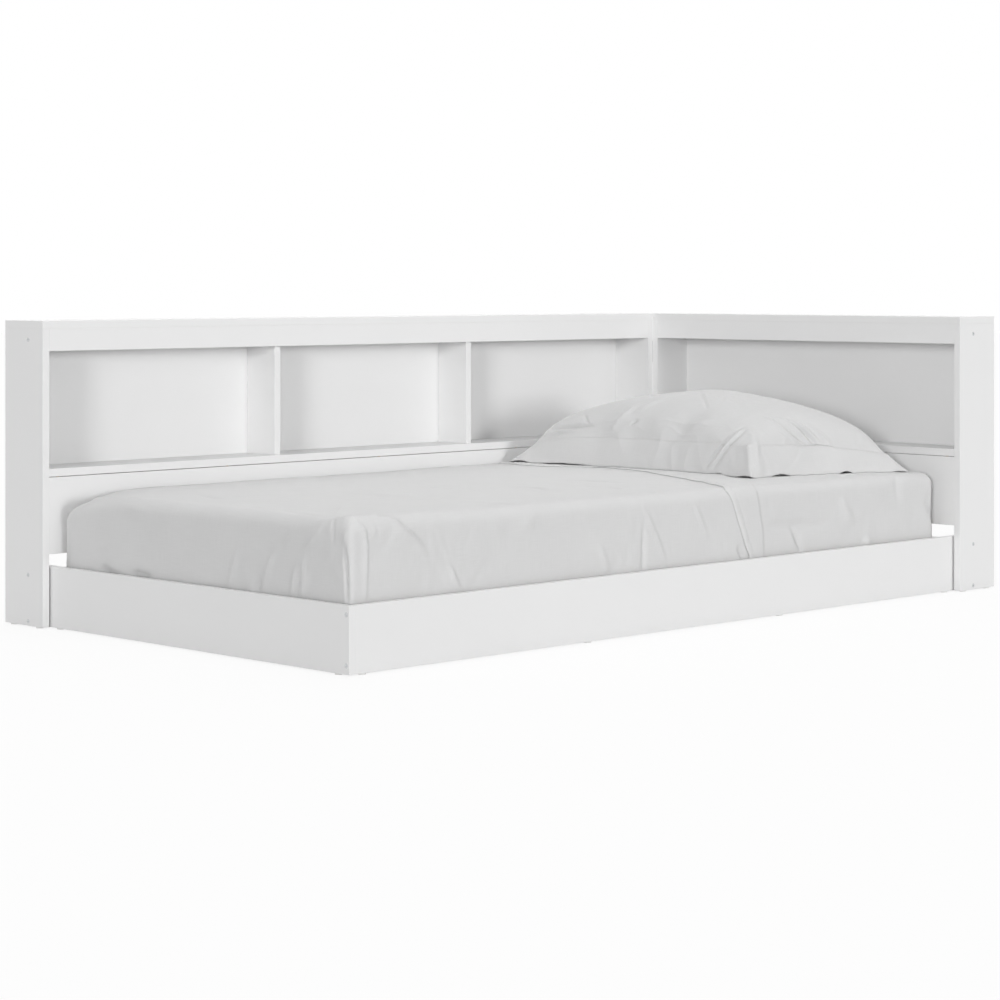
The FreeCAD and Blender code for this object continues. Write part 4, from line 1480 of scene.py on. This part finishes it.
@dataclass
class Pillow:
    """A pillow in a sham with a flat border.

    The body is cloth, blown up from two flat panels and then settled between the places of its
    corners. The border falls from the seam to the bed.

    Attributes:
        camera: places the creases.
        bed: what the pillow lies on.
        middle: the sham's middle, in plan.
        rest: height of the sheet under it.
        panel: width and length of the body's panels, as cut.
        border: width of the flat border, as cut.
        cell: size of the cloth's cells.
        steps_out: rows of cells across the border.
        seam: height of the seam above the sheet.
        crown: height of the body's top above the seam.
        corners: the body's corners about the middle, foot-wall, foot-near, head-near and head-wall.
        tips: the border's tips, in the same order.
        drops: how far the seam drops at each corner, and the power by which that fades.
        bow: how far the border's foot side and near side bow in between the tips, as shares; the
            other two bow a third as far.
        pull: how far the long and the short sides pull in between the corners, as shares.
        skin: thickness of the border.
        edge_skin: thickness at its very edge.
        clear: the gap left above the bed.
        inset: depth of the filling's face inside the sham.
        filling_share: length and width of the filling, as a share of the body's.
        frames: steps of the simulation.
        pressure: that blows the cloth up.
        soften: rounds of evening out afterwards.
        evening: share by which a round evens out the inside and the edges.
        lens: half height of the panels before they are blown up.
        quick_rise: a half height for a quick stand-in for the blown panels; not used.
        gain: how much higher the creases stand than their list says.
        edge_reach: the power by which the seam's drops fade from the edge to the middle.
        ledge: share of the border near the seam that stays level.
        ledge_out: how far out that share reaches.
        spread: the power by which the border runs out beyond its ledge.
        steepness: the power by which it falls there.
        corner_fade: the power by which the corners' own fall fades along the sides.
        corner_fall: the power of the fall at a corner.
        open_side: how near the border's foot or near edge a place must be to stand off the bed.
    """

    camera: PhotoCamera
    bed: Bedding
    middle: np.ndarray
    rest: float
    panel: tuple[float, float] = (0.508, 0.762)
    border: float = 0.085
    cell: float = 0.009
    steps_out: int = 20
    seam: float = 0.078
    crown: float = 0.121
    corners: tuple[Pixel, ...] = ((-0.230, 0.390), (-0.183, -0.312), (0.236, -0.420), (0.200, 0.335))
    tips: tuple[Pixel, ...] = ((-0.264, 0.458), (-0.196, -0.331), (0.266, -0.468), (0.262, 0.395))
    drops: tuple[tuple[float, float], ...] = ((0.032, 9.0), (0.0, 1.0), (0.036, 1.6), (0.030, 2.0))
    bow: tuple[float, float] = (0.06, 0.07)
    pull: tuple[float, float] = (0.09, 0.07)
    skin: float = 0.0026
    edge_skin: float = 0.0004
    clear: float = 0.0001
    inset: float = 0.012
    filling_share: float = 0.93
    frames: int = 45
    pressure: float = 5.0
    soften: int = 18
    evening: tuple[float, float] = (0.5, 0.2)
    lens: float = 0.05
    quick_rise: float = 0.09
    gain: float = 1.7
    edge_reach: float = 6
    ledge: float = 0.10
    ledge_out: float = 0.16
    spread: float = 1.5
    steepness: float = 1.25
    corner_fade: float = 5
    corner_fall: float = 0.85
    open_side: float = -0.98

    def __post_init__(self) -> None:
        """Lays out the panels' grid."""
        self.across = steps(-1.0, 1.0, 2.0 * self.cell / self.panel[0])
        self.along = steps(-1.0, 1.0, 2.0 * self.cell / self.panel[1])

    def build(self) -> None:
        """Makes the sham, its stitches and its filling."""
        upper, lower = self.settle(*self.blown())
        self.build_filling(upper, lower)
        self.build_sham(self.refined(self.refined(upper)), self.refined(self.refined(lower)))

    def blank(self) -> tuple[np.ndarray, list[tuple[int, ...]], np.ndarray, np.ndarray]:
        """Lays out the body's two panels, joined round their edge.

        Returns:
            The corners, the faces, and the corner numbers of the upper and the lower panel.
        """
        rows, columns = len(self.across), len(self.along)
        s, t = np.meshgrid(self.across, self.along, indexing="ij")
        height = self.lens * np.clip((1 - s**2) * (1 - t**2), 0.0, 1.0)
        flat = np.stack([s * self.panel[0] / 2, t * self.panel[1] / 2], axis=-1)
        upper = np.arange(rows * columns).reshape(rows, columns)
        lower = upper.copy()
        inner = (slice(1, -1), slice(1, -1))
        lower[inner] = rows * columns + np.arange((rows - 2) * (columns - 2)).reshape(rows - 2, columns - 2)
        top = np.concatenate([flat, height[..., None]], axis=-1).reshape(-1, 3)
        bottom = np.concatenate([flat, -height[..., None]], axis=-1)[inner].reshape(-1, 3)
        faces = grid_quads(upper) + grid_quads(lower, turned=True)
        return np.concatenate([top, bottom]), faces, upper, lower

    def blown(self) -> tuple[np.ndarray, np.ndarray]:
        """Blows the panels up with Blender's cloth, and returns the upper and the lower one."""
        points, faces, upper, lower = self.blank()
        piece = new_piece("pillow_blank", points, faces)
        cloth = piece.modifiers.new("cloth", "CLOTH")
        for name, value in CLOTH_SETTINGS.items():
            setattr(cloth.settings, name, value)
        cloth.settings.uniform_pressure_force = self.pressure
        cloth.settings.effector_weights.gravity = 0.0
        cloth.collision_settings.use_collision = False
        cloth.point_cache.frame_start = 1
        cloth.point_cache.frame_end = self.frames
        for number in range(1, self.frames + 1):
            bpy.context.scene.frame_set(number)
        shown = piece.evaluated_get(bpy.context.evaluated_depsgraph_get())
        flat = np.zeros(len(points) * 3)
        shown.data.vertices.foreach_get("co", flat)
        points = flat.reshape(-1, 3)
        piece.modifiers.clear()
        bpy.context.scene.frame_set(1)
        bpy.data.objects.remove(piece)
        return points[upper], points[lower]

    def settle(self, upper: np.ndarray, lower: np.ndarray) -> tuple[np.ndarray, np.ndarray]:
        """Fits the blown panels between their corners, sets them on the bed and returns both."""
        s, t = np.meshgrid(self.across, self.along, indexing="ij")
        middle_row, middle_column = len(self.across) // 2, len(self.along) // 2
        half_x = np.abs(upper[-1, middle_column, 0] - upper[0, middle_column, 0]) / 2
        half_y = np.abs(upper[middle_row, -1, 1] - upper[middle_row, 0, 1]) / 2
        corner_x = np.mean(np.abs(upper[[0, 0, -1, -1], [0, -1, 0, -1], 0]))
        corner_y = np.mean(np.abs(upper[[0, 0, -1, -1], [0, -1, 0, -1], 1]))
        top, bottom = upper[..., 2].max(), -lower[..., 2].min()
        LOG.info("pillow body as blown: %.3f x %.3f x %.3f", 2 * half_x, 2 * half_y, top + bottom)
        upper, lower = self.softened(upper), self.softened(lower)
        placed = []
        for panel in (upper, lower):
            x, y, z = np.moveaxis(panel, -1, 0)
            a = x / (half_x + (corner_x - half_x) * t**2) * (1.0 - self.pull[0] * (1.0 - t**2))
            b = y / (half_y + (corner_y - half_y) * s**2) * (1.0 - self.pull[1] * (1.0 - s**2))
            plan = self.between(self.corners, a, b)
            drop = sum(
                fall * np.clip((1.0 + side_a * a) * (1.0 + side_b * b) / 4.0, 0.0, 1.0) ** power
                for (fall, power), (side_a, side_b) in zip(self.drops, PANEL_CORNERS)
            )
            seam = self.seam - drop * np.maximum(np.abs(s), np.abs(t)) ** self.edge_reach
            height = np.where(z > 0.0, z * self.crown / top, z * seam / bottom)
            placed.append(np.concatenate([plan, (self.rest + seam + height)[..., None]], axis=-1))
        return placed[0], placed[1]

    def between(self, corners: Sequence[Pixel], a: np.ndarray, b: np.ndarray) -> np.ndarray:
        """Blends between four corners.

        Args:
            corners: the foot-wall, foot-near, head-near and head-wall corners about the middle.
            a: -1 at the foot side, 1 at the head side.
            b: -1 at the near side, 1 at the wall side.

        Returns:
            The places, in plan.
        """
        foot_wall, foot_near, head_near, head_wall = (np.array(corner) for corner in corners)
        foot, head = (1.0 - a[..., None]) / 2, (1.0 + a[..., None]) / 2
        near, wall = (1.0 - b[..., None]) / 2, (1.0 + b[..., None]) / 2
        at_foot = near * foot_near + wall * foot_wall
        at_head = near * head_near + wall * head_wall
        return self.middle + foot * at_foot + head * at_head

    def softened(self, panel: np.ndarray) -> np.ndarray:
        """Returns a panel with its sharpest creases evened out, and its corners as they are."""
        for _ in range(self.soften):
            ring = panel[:-2, 1:-1] + panel[2:, 1:-1] + panel[1:-1, :-2] + panel[1:-1, 2:]
            panel = panel.copy()
            panel[1:-1, 1:-1] += (ring / 4.0 - panel[1:-1, 1:-1]) * self.evening[0]
            for edge in (panel[0], panel[-1], panel[:, 0], panel[:, -1]):
                edge[1:-1] += (edge[:-2] + edge[2:] - 2.0 * edge[1:-1]) * self.evening[1]
        return panel

    @staticmethod
    def refined(panel: np.ndarray) -> np.ndarray:
        """Doubles a panel's cells each way, along smooth curves through its corners."""
        for axis in (0, 1):
            turned = np.moveaxis(panel, axis, 0)
            before = np.concatenate([2 * turned[:1] - turned[1:2], turned[:-1]])
            after = np.concatenate([turned[1:], 2 * turned[-1:] - turned[-2:-1]])
            halfway = (9 * (turned[:-1] + turned[1:]) - before[:-1] - after[1:]) / 16
            finer = np.zeros((2 * len(turned) - 1, *turned.shape[1:]))
            finer[::2] = turned
            finer[1::2] = halfway
            panel = np.moveaxis(finer, 0, axis)
        return panel

    def build_filling(self, upper: np.ndarray, lower: np.ndarray) -> None:
        """Makes the pillow inside the sham."""
        _, faces, upper_ids, lower_ids = self.blank()
        points = np.zeros((lower_ids.max() + 1, 3))
        points[lower_ids] = lower
        points[upper_ids] = upper
        points = points - corner_normals(points, faces) * self.inset
        points[:, :2] = self.middle + (points[:, :2] - self.middle) * self.filling_share
        piece = new_piece("pillow_filling_cotton", points, faces, points[:, :2], PILLOW_COTTON)
        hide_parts("pillow_insert")
        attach(piece, "pillow")

    def build_sham(self, upper: np.ndarray, lower: np.ndarray) -> None:
        """Makes the sham from the body's refined panels, and the stitches along its seam."""
        top, flat, body = self.with_border(upper)
        rows, columns = top.shape[:2]
        grid = np.arange(rows * columns).reshape(rows, columns)
        faces = grid_quads(grid)
        points = top.reshape(-1, 3)
        normals = corner_normals(points, faces)
        target = BVHTree.FromPolygons(points.tolist(), faces)
        relief = Relief(self.camera, target, PILLOW_FOLDS, PILLOW_WAVES, self.gain)
        points = points + normals * relief.heights(points, normals)[:, None]
        row, column = np.divmod(np.arange(rows * columns), columns)
        from_edge = np.minimum.reduce([row, rows - 1 - row, column, columns - 1 - column])
        skin = np.interp(from_edge, [0, self.steps_out // 2], [self.edge_skin, self.skin])
        below = (points - normals * skin[:, None]).reshape(rows, columns, 3)
        inside = (slice(body + 1, -body - 1), slice(body + 1, -body - 1))
        below[inside] = lower[1:-1, 1:-1]
        points = self.raised(points, skin)
        below = self.raised(below.reshape(-1, 3), np.zeros(len(points)))
        both, uv = np.concatenate([points, below]), np.concatenate([flat, flat])
        piece = new_piece("pillow_sham_linen", both, closed(faces, len(points)), uv, SHAM_LINEN)
        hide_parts("pillow_sham")
        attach(piece, "pillow")
        rows_off_seam, thread_lift = 2, 0.0002
        ring = grid[body - rows_off_seam : rows_off_seam - body, body - rows_off_seam : rows_off_seam - body]
        seam = [*ring[0, :-1], *ring[:-1, -1], *ring[-1, :0:-1], *ring[::-1, 0]]
        line = points[seam] + normals[seam] * thread_lift
        stitches = Stitching("sham_stitches", seed=9).build(line, THREAD)
        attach(stitches, "pillow")

    def raised(self, points: np.ndarray, above: np.ndarray) -> np.ndarray:
        """Returns the points, lifted where they would lie less than so far above the bed."""
        result = points.copy()
        for index in np.flatnonzero(points[:, 2] < self.rest + NEAR_BED):
            least = self.bed.height_at(points[index, 0], points[index, 1]) + above[index] + self.clear
            result[index, 2] = max(points[index, 2], least)
        return result

    def with_border(self, upper: np.ndarray) -> tuple[np.ndarray, np.ndarray, int]:
        """Adds the border round the upper panel.

        Args:
            upper: the body's upper panel.

        Returns:
            The sham's upper face by place across and along, a flat place for each corner, and the
            number of rows in the border.
        """
        count = self.steps_out
        rows, columns = upper.shape[0] + 2 * count, upper.shape[1] + 2 * count
        top = np.zeros((rows, columns, 3))
        top[count:-count, count:-count] = upper
        flat_x = self.flat_places(rows, self.panel[0] / 2)
        flat_y = self.flat_places(columns, self.panel[1] / 2)
        for i in range(rows):
            for j in range(columns):
                at_i = min(max(i, count), rows - 1 - count)
                at_j = min(max(j, count), columns - 1 - count)
                out_i, out_j = (i - at_i) / count, (j - at_j) / count
                far = max(abs(out_i), abs(out_j))
                if far:
                    hem_x = flat_x[at_i] + out_i / far * self.border
                    hem_y = flat_y[at_j] + out_j / far * self.border
                    top[i, j] = self.border_point(top[at_i, at_j], np.array([hem_x, hem_y]), far)
        flat = np.stack(np.meshgrid(flat_x, flat_y, indexing="ij"), axis=-1).reshape(-1, 2)
        return top, flat, count

    def flat_places(self, count: int, half: float) -> np.ndarray:
        """Returns the places across the sham as cut, border included, for a half width of its body."""
        seams = [0, self.steps_out, count - 1 - self.steps_out, count - 1]
        return np.interp(np.arange(count), seams, [-half - self.border, -half, half, half + self.border])

    def border_point(self, seam: np.ndarray, hem: np.ndarray, far: float) -> np.ndarray:
        """Places a corner of the border.

        Args:
            seam: the nearest point of the seam.
            hem: the flat place on the border's edge that it lies towards.
            far: how far out it lies, from 0 at the seam to 1 at the edge.

        Returns:
            Its place.
        """
        reach = np.array(self.panel) / 2 + self.border
        a, b = hem / reach
        bow_a, bow_b = (bow if side < 0.0 else bow / 3.0 for bow, side in zip(self.bow, (a, b)))
        bowed = np.array([a * (1.0 - bow_a * (1.0 - b**2))]), np.array([b * (1.0 - bow_b * (1.0 - a**2))])
        edge = self.between(self.tips, *bowed)[0]
        lift = self.hem_lift(edge) if min(a, b) < self.open_side else 0.0
        beyond = (far - self.ledge) / (1.0 - self.ledge)
        out = self.ledge_out * far / self.ledge
        if beyond >= 0.0:
            out = self.ledge_out + (1.0 - self.ledge_out) * (1.0 - (1.0 - beyond) ** self.spread)
        fall = max(0.0, beyond) ** self.steepness
        corner = float(abs(a * b)) ** self.corner_fade
        out += (far - out) * corner
        fall += (far**self.corner_fall - fall) * corner
        plan = seam[:2] + (edge - seam[:2]) * out
        floor = self.bed.height_at(*edge) + self.clear
        return np.array([*plan, seam[2] + (floor + lift + self.edge_skin - seam[2]) * fall])

    def hem_lift(self, edge: np.ndarray) -> float:
        """Returns how far the border's edge stands off the bed at a place, by what the photograph shows."""
        column = self.camera.pixel_column(np.array([*edge, self.rest]))
        shares = [((column - start) / (end - start), height) for start, end, height in HEM_GAPS_SEEN]
        return sum((height * math.sin(math.pi * share) for share, height in shares if 0.0 < share < 1.0), 0.0)


# ---------------------------------------------------------------- frame
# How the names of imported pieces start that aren't boards, and their finishes.
FINISH_BY_NAME = {
    "slat_0": PINE_ACROSS, "slat_1": PINE_ACROSS, "near_slat": PINE_ALONG, "wall_slat": PINE_ALONG,
    "dowels": BEECH, "panel_screws": ZINC, "shelf_screws": ZINC, "ledger_screws": ZINC,
    "slat_screws": ZINC, "bracket_screws": ZINC, "notch_bracket": ZINC, "cam_pins": ZINC,
    "cam_locks": CAM_METAL, "glides": GLIDE, "pillow_insert": PILLOW_COTTON,
}


class Joinery:
    """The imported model's own pieces, which keep their shapes and get their finishes."""

    @staticmethod
    def finish_of(node: str) -> Finish:
        """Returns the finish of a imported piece, by its name."""
        found = (finish for start, finish in FINISH_BY_NAME.items() if node.startswith(start))
        return next(found, WHITE_BOARD)

    def build(self) -> None:
        """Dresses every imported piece."""
        for node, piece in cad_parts.items():
            finish = self.finish_of(node)
            finish.dress(piece)
            LOG.info("%s: %s", node, finish.name)


def main() -> None:
    """Builds the studio, dresses the bed's frame and makes the bedding."""
    logging.basicConfig(level=logging.INFO, format="%(message)s")
    camera = PhotoCamera()
    camera.build()
    Studio().build()
    Joinery().build()
    low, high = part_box("mattress")
    bedding = Bedding(camera, MattressForm(np.array(low), np.array(high)))
    bedding.build()
    sham_low, sham_high = (np.array(corner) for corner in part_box("pillow_sham"))
    Pillow(camera, bedding, (sham_low[:2] + sham_high[:2]) / 2, float(sham_low[2])).build()


if __name__ == "__main__":
    main()
